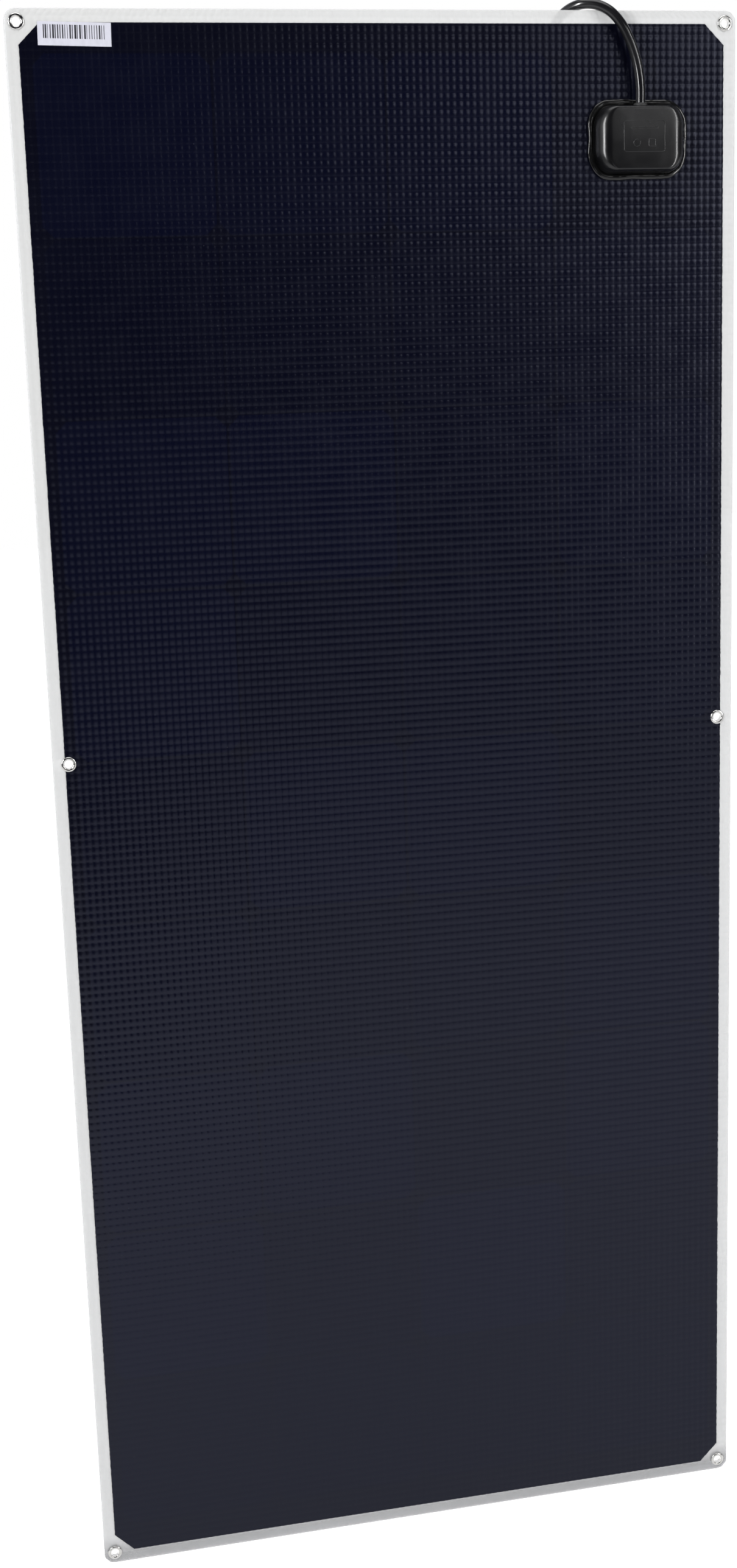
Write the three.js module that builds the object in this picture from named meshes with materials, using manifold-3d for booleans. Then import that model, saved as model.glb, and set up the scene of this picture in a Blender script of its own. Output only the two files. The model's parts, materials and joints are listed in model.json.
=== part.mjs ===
// Flexible solar sheet: a laminate of embossed clear film, back-contact cells and a black core
// sheet, hung by metal eyelets, with a junction box near its top right corner and a round lead.
//
// Units are millimetres. X runs to the right seen from the front, Y towards the rear and Z up.
// The origin is midway between the two top eyelets, on the rear face of the sheet.
import * as THREE from 'three';
import { mergeVertices } from 'three/addons/utils/BufferGeometryUtils.js';
import Module from 'manifold-3d';

const wasm = await Module();
wasm.setup();

// Sheet
const SHEET_WIDTH = 542;
const SHEET_HEIGHT = 1205;
const SHEET_CORNER_RADIUS = 8;
const CORE_SIDE_BORDER = 9;
const CORE_END_BORDER = 9.5;
const CORE_CORNER_CUT = 15;
const FIT_GAP = 0.3;

// Layers, rear to front
const LAYER_GAP = 0.02;
const REAR_FILM_THICKNESS = 0.3;
const CORE_THICKNESS = 0.8;
const REAR_ENCAPSULANT_THICKNESS = 0.4;
const CELL_LAYER_THICKNESS = 0.24;
const FRONT_ENCAPSULANT_THICKNESS = 0.4;
const FRONT_FILM_THICKNESS = 0.36;

// Cells: one place is left out, under the junction box
const CELL_SIZE = 125;
const CELL_CORNER_CUT = 8;
const CELL_GAP = 2;
const CELL_COLUMNS = 4;
const FIRST_ROW_DROP = 29.2;
const CELL_THICKNESS = 0.2;
const CELL_TAB_WIDTH = 10;
const CELL_TAB_OVERLAP = 3;
const CELL_TABS = 3;
const CELL_TAB_SPACING = CELL_SIZE / CELL_TABS;
const RIBBON_WIDTH = 5;
const RIBBON_LANE_GAP = 1.5;

// The sheet bends about the gap between two cell rows near its middle
const FLEX_GAP = 1;

// Eyelets
const EYELET_SIDE_INSET = 8.5;
const EYELET_END_INSET = 9;
const MIDDLE_EYELET_SIDE_INSET = 12;
const MIDDLE_EYELET_RISE = 65.5;
const EYELET_BORE_RADIUS = 3.3;
const EYELET_WALL = 0.5;
const EYELET_FLANGE_RADIUS = 5.7;
const EYELET_FLANGE_THICKNESS = 0.9;
const EYELET_RIM_SLOPE = 0.8;
const EYELET_MOUTH_SLOPE = 0.4;
const EYELET_LIP_RADIUS = 4.7;
const EYELET_LIP_THICKNESS = 0.35;
const WASHER_THICKNESS = 1.0;
const WASHER_RECESS_RADIUS = 4.9;
const EYELET_CLEARANCE = 0.1;
const ROUND_SEGMENTS = 16;

// Identification label
const LABEL_WIDTH = 51.3;
const LABEL_HEIGHT = 16;
const LABEL_THICKNESS = 0.15;
const LABEL_SIDE_INSET = 48.5;
const LABEL_DROP = 17.3;
const LABEL_TILT_DEGREES = -1.2;

// Junction box
const BOX_SIDE_INSET = 78.5;
const BOX_DROP = 92;
const BOX_WIDTH = 68.8;
const BOX_DEPTH = 48;
const BOX_CORNER_ACROSS = 12;
const BOX_CORNER_ALONG = 17;
const COVER_WALL = 1.6;
const COVER_TOP_WALL = 1.8;
const COVER_FLAT_WIDTH = 48;
const COVER_SKIRT = 3;
const FLOOR_THICKNESS = 1.6;
const FLANGE_LEDGE = 0.4;
const UPSTAND_INSET = 3.4;
const UPSTAND_WALL = 1.6;
const UPSTAND_HEIGHT = 4.6;
const GASKET_HEIGHT = 1.6;
const BEAD_FILM = 0.8;
const BEAD_WIDTH = 4.4;
const BEAD_HEIGHT = 2.6;

// Inside the box
const SLOT_WIDTH = 36;
const SLOT_HEIGHT = 6;
const SLOT_INSET = 8;
const TERMINAL_SPREAD = 13;
const TERMINAL_WIDTH = 9;
const TERMINAL_LENGTH = 14;
const TERMINAL_THICKNESS = 0.8;
const TERMINAL_STAND = 2.4;
const TERMINAL_RISE = 1;
const SOLDER_DROP = 3.5;
const POST_WIDTH = 5;
const POST_LENGTH = 8;
const POST_RISE = 1;
const DIODE_RADIUS = 2.5;
const DIODE_LENGTH = 8;
const DIODE_LEAD_RADIUS = 0.5;
const DIODE_RISE = 2;
const CLAMP_LENGTH = 6;
const CLAMP_INSET = 13;
const CLAMP_HEADROOM = 0.74;
const CLAMP_EAR_WIDTH = 6;
const CLAMP_EAR_THICKNESS = 2;
const CLAMP_ARCH = 1.2;
const BOSS_RADIUS = 2.7;
const SCREW_RADIUS = 1.1;
const SCREW_HEAD_RADIUS = 2.2;
const SCREW_HEAD_HEIGHT = 1.4;
const SCREW_LENGTH = 5;

// Lead
const LEAD_RADIUS = 3.7;
const LEAD_SIDES = 8;
const LEAD_STEPS = 72;
const SEAL_WALL = 1.2;
const SEAL_INNER_LENGTH = 1;
const SEAL_LIP = 1.4;
const SEAL_LIP_WALL = 0.4;
const LEAD_TAIL = 1;
const CORE_RADIUS = 1.55;
const INNER_CORE_RADIUS = 1.2;
const CORE_SPREAD = 1.8;
const CORE_SIDES = 8;
const INNER_CORE_STEPS = 12;
const INNER_CORE_STRAIGHT = 1.5;
const INNER_CORE_SAG = 1;
const INNER_CORE_TURN = 2.5;
const FREE_CORE_STEPS = 14;
const FREE_CORE_LENGTH = 42;
const FREE_CORE_SPREAD = 3.96;
const FREE_CORE_STRAIGHT = 6.3;
const FERRULE_COLLAR_RADIUS = 2;
const FERRULE_COLLAR_LENGTH = 6;
const FERRULE_TAPER = 1.8;
const FERRULE_PIN_RADIUS = 1.15;
const FERRULE_PIN_LENGTH = 10;
const FERRULE_SEGMENTS = 14;

// How the solids are made: a cut runs past its piece by CUT_REACH, a standing part sinks by ROOT
// into what carries it, and points nearer than MERGE_TOLERANCE are one
const CUT_REACH = 1;
const ROOT = 0.5;
const MERGE_TOLERANCE = 1e-4;
const OUTLINE_SEGMENTS = 6;
const DOME_SEGMENTS = 8;
const SMALL_SEGMENTS = 10;

// Levels across the laminate, measured forwards from the rear face
const REAR_FILM_BACK = 0;
const CORE_BACK = REAR_FILM_BACK + REAR_FILM_THICKNESS + LAYER_GAP;
const REAR_ENCAPSULANT_BACK = CORE_BACK + CORE_THICKNESS + LAYER_GAP;
const CELL_LAYER_BACK = REAR_ENCAPSULANT_BACK + REAR_ENCAPSULANT_THICKNESS + LAYER_GAP;
const FRONT_ENCAPSULANT_BACK = CELL_LAYER_BACK + CELL_LAYER_THICKNESS + LAYER_GAP;
const FRONT_FILM_BACK = FRONT_ENCAPSULANT_BACK + FRONT_ENCAPSULANT_THICKNESS + LAYER_GAP;
const SHEET_FRONT = FRONT_FILM_BACK + FRONT_FILM_THICKNESS;

// Places that follow from the sizes
const TOP_EDGE = EYELET_END_INSET;
const BOTTOM_EDGE = TOP_EDGE - SHEET_HEIGHT;
const RIGHT_EDGE = SHEET_WIDTH / 2;
const CELL_PITCH = CELL_SIZE + CELL_GAP;
const CELL_TAB_END = CELL_GAP / 2 + CELL_TAB_OVERLAP + FIT_GAP;
const LAST_ROW_ROOM = CELL_TAB_END + RIBBON_WIDTH + CORE_END_BORDER;
const CELL_ROWS = Math.floor((SHEET_HEIGHT - FIRST_ROW_DROP - LAST_ROW_ROOM) / CELL_PITCH);
const FLEX_AFTER_ROW = Math.ceil(CELL_ROWS / 2);
const CELL_FIELD_WIDTH = CELL_COLUMNS * CELL_PITCH;
const CELL_FIELD_TOP = TOP_EDGE - FIRST_ROW_DROP;
const CELL_FIELD_BOTTOM = CELL_FIELD_TOP - CELL_ROWS * CELL_PITCH;
const FLEX_LINE = CELL_FIELD_TOP - FLEX_AFTER_ROW * CELL_PITCH;
const BOX_X = RIGHT_EDGE - BOX_SIDE_INSET;
const BOX_Z = TOP_EDGE - BOX_DROP;
const BOX_TOP_WALL = BOX_Z + BOX_DEPTH / 2;
const SLOT_Z = BOX_Z - BOX_DEPTH / 2 + SLOT_INSET;
const BEAD_BACK = SHEET_FRONT + LAYER_GAP;
const FLOOR_BACK = BEAD_BACK + BEAD_FILM + LAYER_GAP;
const FLOOR_FRONT = FLOOR_BACK + FLOOR_THICKNESS;
const COVER_BACK = FLOOR_FRONT + LAYER_GAP;
const SEAL_RADIUS = LEAD_RADIUS + FIT_GAP + SEAL_WALL;
const LEAD_LEVEL = FLOOR_FRONT + FIT_GAP + SEAL_RADIUS + FIT_GAP;
const CLAMP_PASSAGE = LEAD_RADIUS + FIT_GAP;
const CLAMP_HALF = CLAMP_PASSAGE + CLAMP_ARCH;
const CLAMP_BACK = LEAD_LEVEL + LAYER_GAP;
const CLAMP_Z = BOX_TOP_WALL - CLAMP_INSET;
const COVER_FRONT = CLAMP_BACK + CLAMP_HALF + CLAMP_HEADROOM + COVER_TOP_WALL;
const LEAD_START_Z = CLAMP_Z - CLAMP_LENGTH / 2 - LEAD_TAIL;
const TERMINAL_BACK = FLOOR_FRONT + TERMINAL_STAND + LAYER_GAP;
const TERMINAL_BOTTOM = SLOT_Z + TERMINAL_RISE;
const TERMINAL_TOP = TERMINAL_BOTTOM + TERMINAL_LENGTH;

// The lead's centre line outside the box, from the seal over the top edge and down behind.
// Each point has its distance to the right of the box's middle, then Y and Z.
const LEAD_ROUTE = [
  [0, -LEAD_LEVEL, -58], [0, -LEAD_LEVEL, -46], [-1.4, -10.8, -34.1], [-4.4, -10.8, -22.2],
  [-8.8, -10.6, -11.2], [-14.8, -10.1, -0.8], [-23.2, -8.3, 8], [-33.3, -4.2, 13],
  [-43.5, 2.2, 13.3], [-51.8, 10.4, 9], [-57.8, 19.8, -0.6], [-60.6, 25, -7.7],
  [-63.6, 32.7, -17.1], [-63.9, 39.8, -28.4], [-64.9, 43, -45], [-65.7, 43.4, -66],
  [-67.3, 42.6, -100], [-70.1, 41.4, -150], [-73.7, 40.2, -212], [-77.5, 39.4, -280],
  [-80.7, 38.8, -352], [-82.9, 38.4, -426], [-83.9, 38.2, -502], [-83.9, 38.2, -578],
  [-83.1, 38.4, -654], [-82.5, 38.6, -768],
];

const finishes = {
  clearFilm: { color: 0x20242c, roughness: 0.3, metalness: 0, transparent: true, opacity: 0.35 },
  encapsulant: { color: 0xe8ebee, roughness: 0.35, metalness: 0, transparent: true, opacity: 0.3 },
  core: { color: 0x0c0e13, roughness: 0.55, metalness: 0 },
  rearFilm: { color: 0xe4e6e6, roughness: 0.45, metalness: 0 },
  cell: { color: 0x0d1430, roughness: 0.3, metalness: 0.1 },
  ribbon: { color: 0xa9adb2, roughness: 0.4, metalness: 0.9 },
  nickel: { color: 0xd9dadb, roughness: 0.18, metalness: 1 },
  paper: { color: 0xf4f4f2, roughness: 0.7, metalness: 0 },
  boxPlastic: { color: 0x121314, roughness: 0.45, metalness: 0 },
  sealant: { color: 0x060606, roughness: 0.12, metalness: 0 },
  rubber: { color: 0x161616, roughness: 0.8, metalness: 0 },
  copper: { color: 0xb87b4a, roughness: 0.35, metalness: 0.9 },
  diode: { color: 0x1b1b1d, roughness: 0.4, metalness: 0 },
  steel: { color: 0x9b9ea1, roughness: 0.35, metalness: 0.9 },
  leadSheath: { color: 0x0a0a0b, roughness: 0.2, metalness: 0 },
  redCore: { color: 0xb3201c, roughness: 0.4, metalness: 0 },
  blackCore: { color: 0x141415, roughness: 0.4, metalness: 0 },
};

const sheet = new THREE.Group();
sheet.name = 'flexible_solar_sheet';

// Helpers: solids are joined and cut as manifolds and become meshes at the end

function toSolid(geometry) {
  geometry.deleteAttribute('normal');
  geometry.deleteAttribute('uv');
  const merged = mergeVertices(geometry, MERGE_TOLERANCE);
  const triVerts = new Uint32Array(merged.index.array);
  const vertProperties = new Float32Array(merged.attributes.position.array);
  return new wasm.Manifold(new wasm.Mesh({ numProp: 3, vertProperties, triVerts }));
}

function toGeometry(solid) {
  const { vertProperties, triVerts } = solid.getMesh();
  const geometry = new THREE.BufferGeometry();
  geometry.setAttribute('position', new THREE.BufferAttribute(vertProperties, 3));
  geometry.setIndex(new THREE.BufferAttribute(triVerts, 1));
  geometry.computeVertexNormals();
  return geometry;
}

function join(...solids) {
  return solids.reduce((whole, piece) => whole.add(piece));
}

function cut(solid, ...tools) {
  return tools.reduce((left, tool) => left.subtract(tool), solid);
}

function addPiece(name, solid, finish) {
  const mesh = new THREE.Mesh(toGeometry(solid), new THREE.MeshStandardMaterial(finish));
  mesh.name = name;
  sheet.add(mesh);
}

// A plate with its outline in X and Z; back and thickness are measured forwards, along -Y
function plate(outline, back, thickness) {
  const options = { depth: thickness, bevelEnabled: false, curveSegments: OUTLINE_SEGMENTS };
  const geometry = new THREE.ExtrudeGeometry(outline, options);
  geometry.rotateX(Math.PI / 2);
  geometry.translate(0, -back, 0);
  return toSolid(geometry);
}

function block(left, right, bottom, top, back, thickness) {
  const geometry = new THREE.BoxGeometry(right - left, thickness, top - bottom);
  geometry.translate((left + right) / 2, -back - thickness / 2, (bottom + top) / 2);
  return toSolid(geometry);
}

// A turned piece on an axis along Y through (x, z); the profile holds [radius, level] pairs,
// with the level measured forwards, and goes out along the rear and back along the front
function turned(profile, x, z) {
  const points = profile.map(([radius, level]) => new THREE.Vector2(radius, -level)).reverse();
  const geometry = new THREE.LatheGeometry(points, ROUND_SEGMENTS);
  geometry.translate(x, 0, z);
  return toSolid(geometry);
}

function peg(radius, back, thickness, x, z) {
  const geometry = new THREE.CylinderGeometry(radius, radius, thickness, ROUND_SEGMENTS);
  geometry.translate(x, -back - thickness / 2, z);
  return toSolid(geometry);
}

// A cylinder with its axis along Z
function uprightRod(radius, bottom, top, x, level) {
  const geometry = new THREE.CylinderGeometry(radius, radius, top - bottom, ROUND_SEGMENTS);
  geometry.rotateX(Math.PI / 2);
  geometry.translate(x, -level, (bottom + top) / 2);
  return toSolid(geometry);
}

// A round bar along a smooth curve through the points
function bar(points, radius, sides, steps) {
  const section = new THREE.Shape();
  section.absarc(0, 0, radius, 0, 2 * Math.PI);
  const route = new THREE.CatmullRomCurve3(points.map((point) => new THREE.Vector3(...point)));
  const options = { steps, extrudePath: route, curveSegments: sides / 2, bevelEnabled: false };
  return toSolid(new THREE.ExtrudeGeometry(section, options));
}

// Outlines

function cutCornerOutline(left, right, bottom, top, corner) {
  const outline = new THREE.Shape();
  outline.moveTo(left + corner, bottom);
  outline.lineTo(right - corner, bottom);
  outline.lineTo(right, bottom + corner);
  outline.lineTo(right, top - corner);
  outline.lineTo(right - corner, top);
  outline.lineTo(left + corner, top);
  outline.lineTo(left, top - corner);
  outline.lineTo(left, bottom + corner);
  outline.closePath();
  return outline;
}

// A rectangle about (x, z) whose corners are quarter ellipses
function roundCornerOutline(width, height, cornerAcross, cornerAlong, x, z) {
  const across = width / 2 - cornerAcross;
  const along = height / 2 - cornerAlong;
  const outline = new THREE.Shape();
  const corners = [[1, -1], [1, 1], [-1, 1], [-1, -1]];
  corners.forEach(([sideX, sideZ], quarter) => {
    const start = (quarter - 1) * Math.PI / 2;
    const centreX = x + sideX * across;
    const centreZ = z + sideZ * along;
    const end = start + Math.PI / 2;
    outline.absellipse(centreX, centreZ, cornerAcross, cornerAlong, start, end, false, 0);
  });
  outline.closePath();
  return outline;
}

function wholeSheetOutline() {
  const middle = (TOP_EDGE + BOTTOM_EDGE) / 2;
  const radius = SHEET_CORNER_RADIUS;
  return roundCornerOutline(SHEET_WIDTH, SHEET_HEIGHT, radius, radius, 0, middle);
}

function coreOutline(grow) {
  const side = RIGHT_EDGE - CORE_SIDE_BORDER + grow;
  const bottom = BOTTOM_EDGE + CORE_END_BORDER - grow;
  const top = TOP_EDGE - CORE_END_BORDER + grow;
  return cutCornerOutline(-side, side, bottom, top, CORE_CORNER_CUT);
}

function boxOutline(inset) {
  return roundCornerOutline(
    BOX_WIDTH - 2 * inset, BOX_DEPTH - 2 * inset,
    BOX_CORNER_ACROSS - inset, BOX_CORNER_ALONG - inset, BOX_X, BOX_Z,
  );
}

// Sheet layers

function eyeletPlaces() {
  const side = RIGHT_EDGE - EYELET_SIDE_INSET;
  const middleSide = RIGHT_EDGE - MIDDLE_EYELET_SIDE_INSET;
  const bottom = BOTTOM_EDGE + EYELET_END_INSET;
  const middle = (TOP_EDGE + BOTTOM_EDGE) / 2 + MIDDLE_EYELET_RISE;
  return {
    top_left: [-side, 0], top_right: [side, 0],
    middle_left: [-middleSide, middle], middle_right: [middleSide, middle],
    bottom_left: [-side, bottom], bottom_right: [side, bottom],
  };
}

function eyeletHoles() {
  const radius = EYELET_BORE_RADIUS + EYELET_WALL + FIT_GAP;
  const places = Object.values(eyeletPlaces());
  const depth = SHEET_FRONT + 2 * CUT_REACH;
  return places.map(([x, z]) => peg(radius, -CUT_REACH, depth, x, z));
}

function ribbonSlot(back, thickness) {
  return block(
    BOX_X - SLOT_WIDTH / 2, BOX_X + SLOT_WIDTH / 2,
    SLOT_Z - SLOT_HEIGHT / 2, SLOT_Z + SLOT_HEIGHT / 2, back, thickness,
  );
}

// Cuts a solid that spans the sheet at the flex line and adds both halves
function addHalves(name, solid, finish) {
  const side = RIGHT_EDGE + CUT_REACH;
  const depth = SHEET_FRONT + 2 * CUT_REACH;
  const top = TOP_EDGE + CUT_REACH;
  const bottom = BOTTOM_EDGE - CUT_REACH;
  const above = block(-side, side, FLEX_LINE + FLEX_GAP / 2, top, -CUT_REACH, depth);
  const below = block(-side, side, bottom, FLEX_LINE - FLEX_GAP / 2, -CUT_REACH, depth);
  addPiece(`${name}_upper`, solid.intersect(above), finish);
  addPiece(`${name}_lower`, solid.intersect(below), finish);
}

function addLayers() {
  const rearFilm = plate(wholeSheetOutline(), REAR_FILM_BACK, REAR_FILM_THICKNESS);
  addHalves('rear_film', cut(rearFilm, ...eyeletHoles()), finishes.rearFilm);

  const core = plate(coreOutline(0), CORE_BACK, CORE_THICKNESS);
  addHalves('core_sheet', cut(core, ...eyeletHoles()), finishes.core);

  const coreRoom = CORE_THICKNESS + LAYER_GAP;
  const rearThickness = REAR_ENCAPSULANT_THICKNESS + coreRoom;
  const rearTray = plate(wholeSheetOutline(), CORE_BACK, rearThickness);
  const corePocket = plate(coreOutline(FIT_GAP), CORE_BACK - CUT_REACH, coreRoom + CUT_REACH);
  const rearEncapsulant = cut(rearTray, corePocket, ...eyeletHoles());
  addHalves('rear_encapsulant', rearEncapsulant, finishes.encapsulant);

  const cellRoom = CELL_LAYER_THICKNESS + LAYER_GAP;
  const frontThickness = FRONT_ENCAPSULANT_THICKNESS + cellRoom;
  const frontTray = plate(wholeSheetOutline(), CELL_LAYER_BACK, frontThickness);
  const pocketBack = CELL_LAYER_BACK - CUT_REACH;
  const cellPocket = plate(coreOutline(FIT_GAP), pocketBack, cellRoom + CUT_REACH);
  const slot = ribbonSlot(CELL_LAYER_BACK, SHEET_FRONT);
  const frontEncapsulant = cut(frontTray, cellPocket, slot, ...eyeletHoles());
  addHalves('front_encapsulant', frontEncapsulant, finishes.encapsulant);

  const frontFilm = plate(wholeSheetOutline(), FRONT_FILM_BACK, FRONT_FILM_THICKNESS);
  addHalves('front_film', cut(frontFilm, slot, ...eyeletHoles()), finishes.clearFilm);
}

// Cells and ribbons

function columnCentre(column) {
  return -CELL_FIELD_WIDTH / 2 + (column + 0.5) * CELL_PITCH;
}

function cell(column, row) {
  const x = columnCentre(column);
  const z = CELL_FIELD_TOP - (row + 0.5) * CELL_PITCH;
  const half = CELL_SIZE / 2;
  const outline = cutCornerOutline(x - half, x + half, z - half, z + half, CELL_CORNER_CUT);
  return plate(outline, CELL_LAYER_BACK, CELL_THICKNESS);
}

// The tabs that solder one cell to the next across the gap whose middle is at z
function cellTabs(column, z) {
  const reach = CELL_GAP / 2 + CELL_TAB_OVERLAP;
  return Array.from({ length: CELL_TABS }, (_, index) => {
    const x = columnCentre(column) + (index - (CELL_TABS - 1) / 2) * CELL_TAB_SPACING;
    const half = CELL_TAB_WIDTH / 2;
    return block(x - half, x + half, z - reach, z + reach, CELL_LAYER_BACK, CELL_THICKNESS);
  });
}

function cellString(column, firstRow) {
  const pieces = [];
  for (let row = firstRow; row < CELL_ROWS; row += 1) {
    pieces.push(cell(column, row));
  }
  for (let gap = firstRow; gap <= CELL_ROWS; gap += 1) {
    pieces.push(...cellTabs(column, CELL_FIELD_TOP - gap * CELL_PITCH));
  }
  return join(...pieces);
}

function ribbon(left, right, bottom, top) {
  return block(left, right, bottom, top, CELL_LAYER_BACK, CELL_THICKNESS);
}

// A tab that stands up from a ribbon's end through the slot, level with the terminals
function risingTab(x) {
  const half = RIBBON_WIDTH / 2;
  const height = TERMINAL_BACK + TERMINAL_THICKNESS - CELL_LAYER_BACK;
  const top = TERMINAL_BOTTOM - FIT_GAP;
  return block(x - half, x + half, top - CELL_THICKNESS, top, CELL_LAYER_BACK, height);
}

function addRibbons() {
  const reach = CELL_TAB_SPACING + CELL_TAB_WIDTH / 2;
  const nearLane = CELL_FIELD_TOP + CELL_TAB_END;
  const farLane = nearLane + RIBBON_WIDTH + RIBBON_LANE_GAP;
  const bottomLane = CELL_FIELD_BOTTOM - CELL_TAB_END - RIBBON_WIDTH;
  const finish = finishes.ribbon;

  const link = (from, bottom) => ribbon(
    columnCentre(from) - reach, columnCentre(from + 1) + reach, bottom, bottom + RIBBON_WIDTH,
  );
  addPiece('bus_ribbon_bottom_left', link(0, bottomLane), finish);
  addPiece('bus_ribbon_bottom_right', link(2, bottomLane), finish);
  addPiece('bus_ribbon_top', link(1, nearLane), finish);

  const half = RIBBON_WIDTH / 2;
  const plusX = BOX_X - TERMINAL_SPREAD;
  const farTop = farLane + RIBBON_WIDTH;
  const tabLevel = TERMINAL_BOTTOM - FIT_GAP - CELL_THICKNESS;
  const firstColumn = columnCentre(0);
  const positive = join(
    ribbon(firstColumn - reach, firstColumn + reach, nearLane, nearLane + RIBBON_WIDTH),
    ribbon(firstColumn - half, firstColumn + half, nearLane, farTop),
    ribbon(firstColumn - half, plusX + half, farLane, farTop),
    ribbon(plusX - half, plusX + half, tabLevel, farTop),
    risingTab(plusX),
  );
  addPiece('positive_ribbon', positive, finish);

  const minusX = BOX_X + TERMINAL_SPREAD;
  const lastColumn = columnCentre(CELL_COLUMNS - 1);
  const lastLane = CELL_FIELD_TOP - CELL_PITCH + CELL_TAB_END;
  const laneLeft = Math.min(lastColumn - reach, minusX - half);
  const laneRight = Math.max(lastColumn + reach, minusX + half);
  const negative = join(
    ribbon(laneLeft, laneRight, lastLane, lastLane + RIBBON_WIDTH),
    ribbon(minusX - half, minusX + half, lastLane, tabLevel + CELL_THICKNESS),
    risingTab(minusX),
  );
  addPiece('negative_ribbon', negative, finish);
}

function addCells() {
  for (let column = 0; column < CELL_COLUMNS; column += 1) {
    const firstRow = column === CELL_COLUMNS - 1 ? 1 : 0;
    addHalves(`cell_string_${column + 1}`, cellString(column, firstRow), finishes.cell);
  }
  addRibbons();
}

// Eyelets: the barrel's lip is rolled into the washer's recess, flush with its rear face

function eyelet(x, z) {
  const barrel = EYELET_BORE_RADIUS + EYELET_WALL;
  const seat = SHEET_FRONT + LAYER_GAP;
  const front = seat + EYELET_FLANGE_THICKNESS;
  const lipBack = -WASHER_THICKNESS;
  const lipFront = lipBack + EYELET_LIP_THICKNESS;
  const rim = EYELET_FLANGE_RADIUS;
  return turned([
    [EYELET_BORE_RADIUS, lipBack], [EYELET_LIP_RADIUS, lipBack], [EYELET_LIP_RADIUS, lipFront],
    [barrel, lipFront], [barrel, seat], [rim, seat], [rim - EYELET_RIM_SLOPE, front],
    [EYELET_BORE_RADIUS + EYELET_MOUTH_SLOPE, front],
    [EYELET_BORE_RADIUS, front - EYELET_MOUTH_SLOPE], [EYELET_BORE_RADIUS, lipBack],
  ], x, z);
}

function eyeletWasher(x, z) {
  const bore = EYELET_BORE_RADIUS + EYELET_WALL + EYELET_CLEARANCE;
  const back = -WASHER_THICKNESS - LAYER_GAP;
  const recess = -WASHER_THICKNESS + EYELET_LIP_THICKNESS + EYELET_CLEARANCE;
  return turned([
    [bore, recess], [WASHER_RECESS_RADIUS, recess], [WASHER_RECESS_RADIUS, back],
    [EYELET_FLANGE_RADIUS, back], [EYELET_FLANGE_RADIUS, -LAYER_GAP], [bore, -LAYER_GAP],
    [bore, recess],
  ], x, z);
}

function addEyelets() {
  Object.entries(eyeletPlaces()).forEach(([place, [x, z]]) => {
    addPiece(`eyelet_${place}`, eyelet(x, z), finishes.nickel);
    addPiece(`eyelet_washer_${place}`, eyeletWasher(x, z), finishes.nickel);
  });
}

function addLabel() {
  const x = -RIGHT_EDGE + LABEL_SIDE_INSET;
  const z = TOP_EDGE - LABEL_DROP;
  const tilt = THREE.MathUtils.degToRad(LABEL_TILT_DEGREES);
  const corners = [[-1, -1], [1, -1], [1, 1], [-1, 1]].map(([sideX, sideZ]) => {
    const corner = new THREE.Vector2(sideX * LABEL_WIDTH / 2, sideZ * LABEL_HEIGHT / 2);
    return corner.rotateAround(new THREE.Vector2(), tilt).add(new THREE.Vector2(x, z));
  });
  const label = plate(new THREE.Shape(corners), SHEET_FRONT + LAYER_GAP, LABEL_THICKNESS);
  addPiece('identification_label', label, finishes.paper);
}

// Junction box

function ring(outer, inner, back, thickness) {
  return cut(plate(outer, back, thickness), plate(inner, back - CUT_REACH, thickness + 2 * CUT_REACH));
}

function beadOutline(grow) {
  return boxOutline(-FLANGE_LEDGE - FIT_GAP - grow);
}

function addBead() {
  const pad = plate(boxOutline(-FLANGE_LEDGE - FIT_GAP), BEAD_BACK, BEAD_FILM);
  const rim = ring(beadOutline(BEAD_WIDTH - FIT_GAP), beadOutline(0), BEAD_BACK, BEAD_HEIGHT);
  const skirt = plate(beadOutline(BEAD_WIDTH - FIT_GAP), BEAD_BACK, BEAD_FILM);
  const slot = ribbonSlot(BEAD_BACK - CUT_REACH, BEAD_FILM + 2 * CUT_REACH);
  const bead = cut(join(skirt, pad, rim), slot);
  addPiece('adhesive_bead', bead, finishes.sealant);
}

function leadPassage() {
  const bottom = BOX_TOP_WALL - UPSTAND_INSET - UPSTAND_WALL - 2 * CUT_REACH;
  return uprightRod(SEAL_RADIUS + FIT_GAP, bottom, BOX_TOP_WALL + 2 * CUT_REACH, BOX_X, LEAD_LEVEL);
}

function clampScrewPlaces() {
  const reach = CLAMP_HALF + CLAMP_EAR_WIDTH / 2;
  return [BOX_X - reach, BOX_X + reach];
}

function terminalPlaces() {
  return [BOX_X - TERMINAL_SPREAD, BOX_X + TERMINAL_SPREAD];
}

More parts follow.
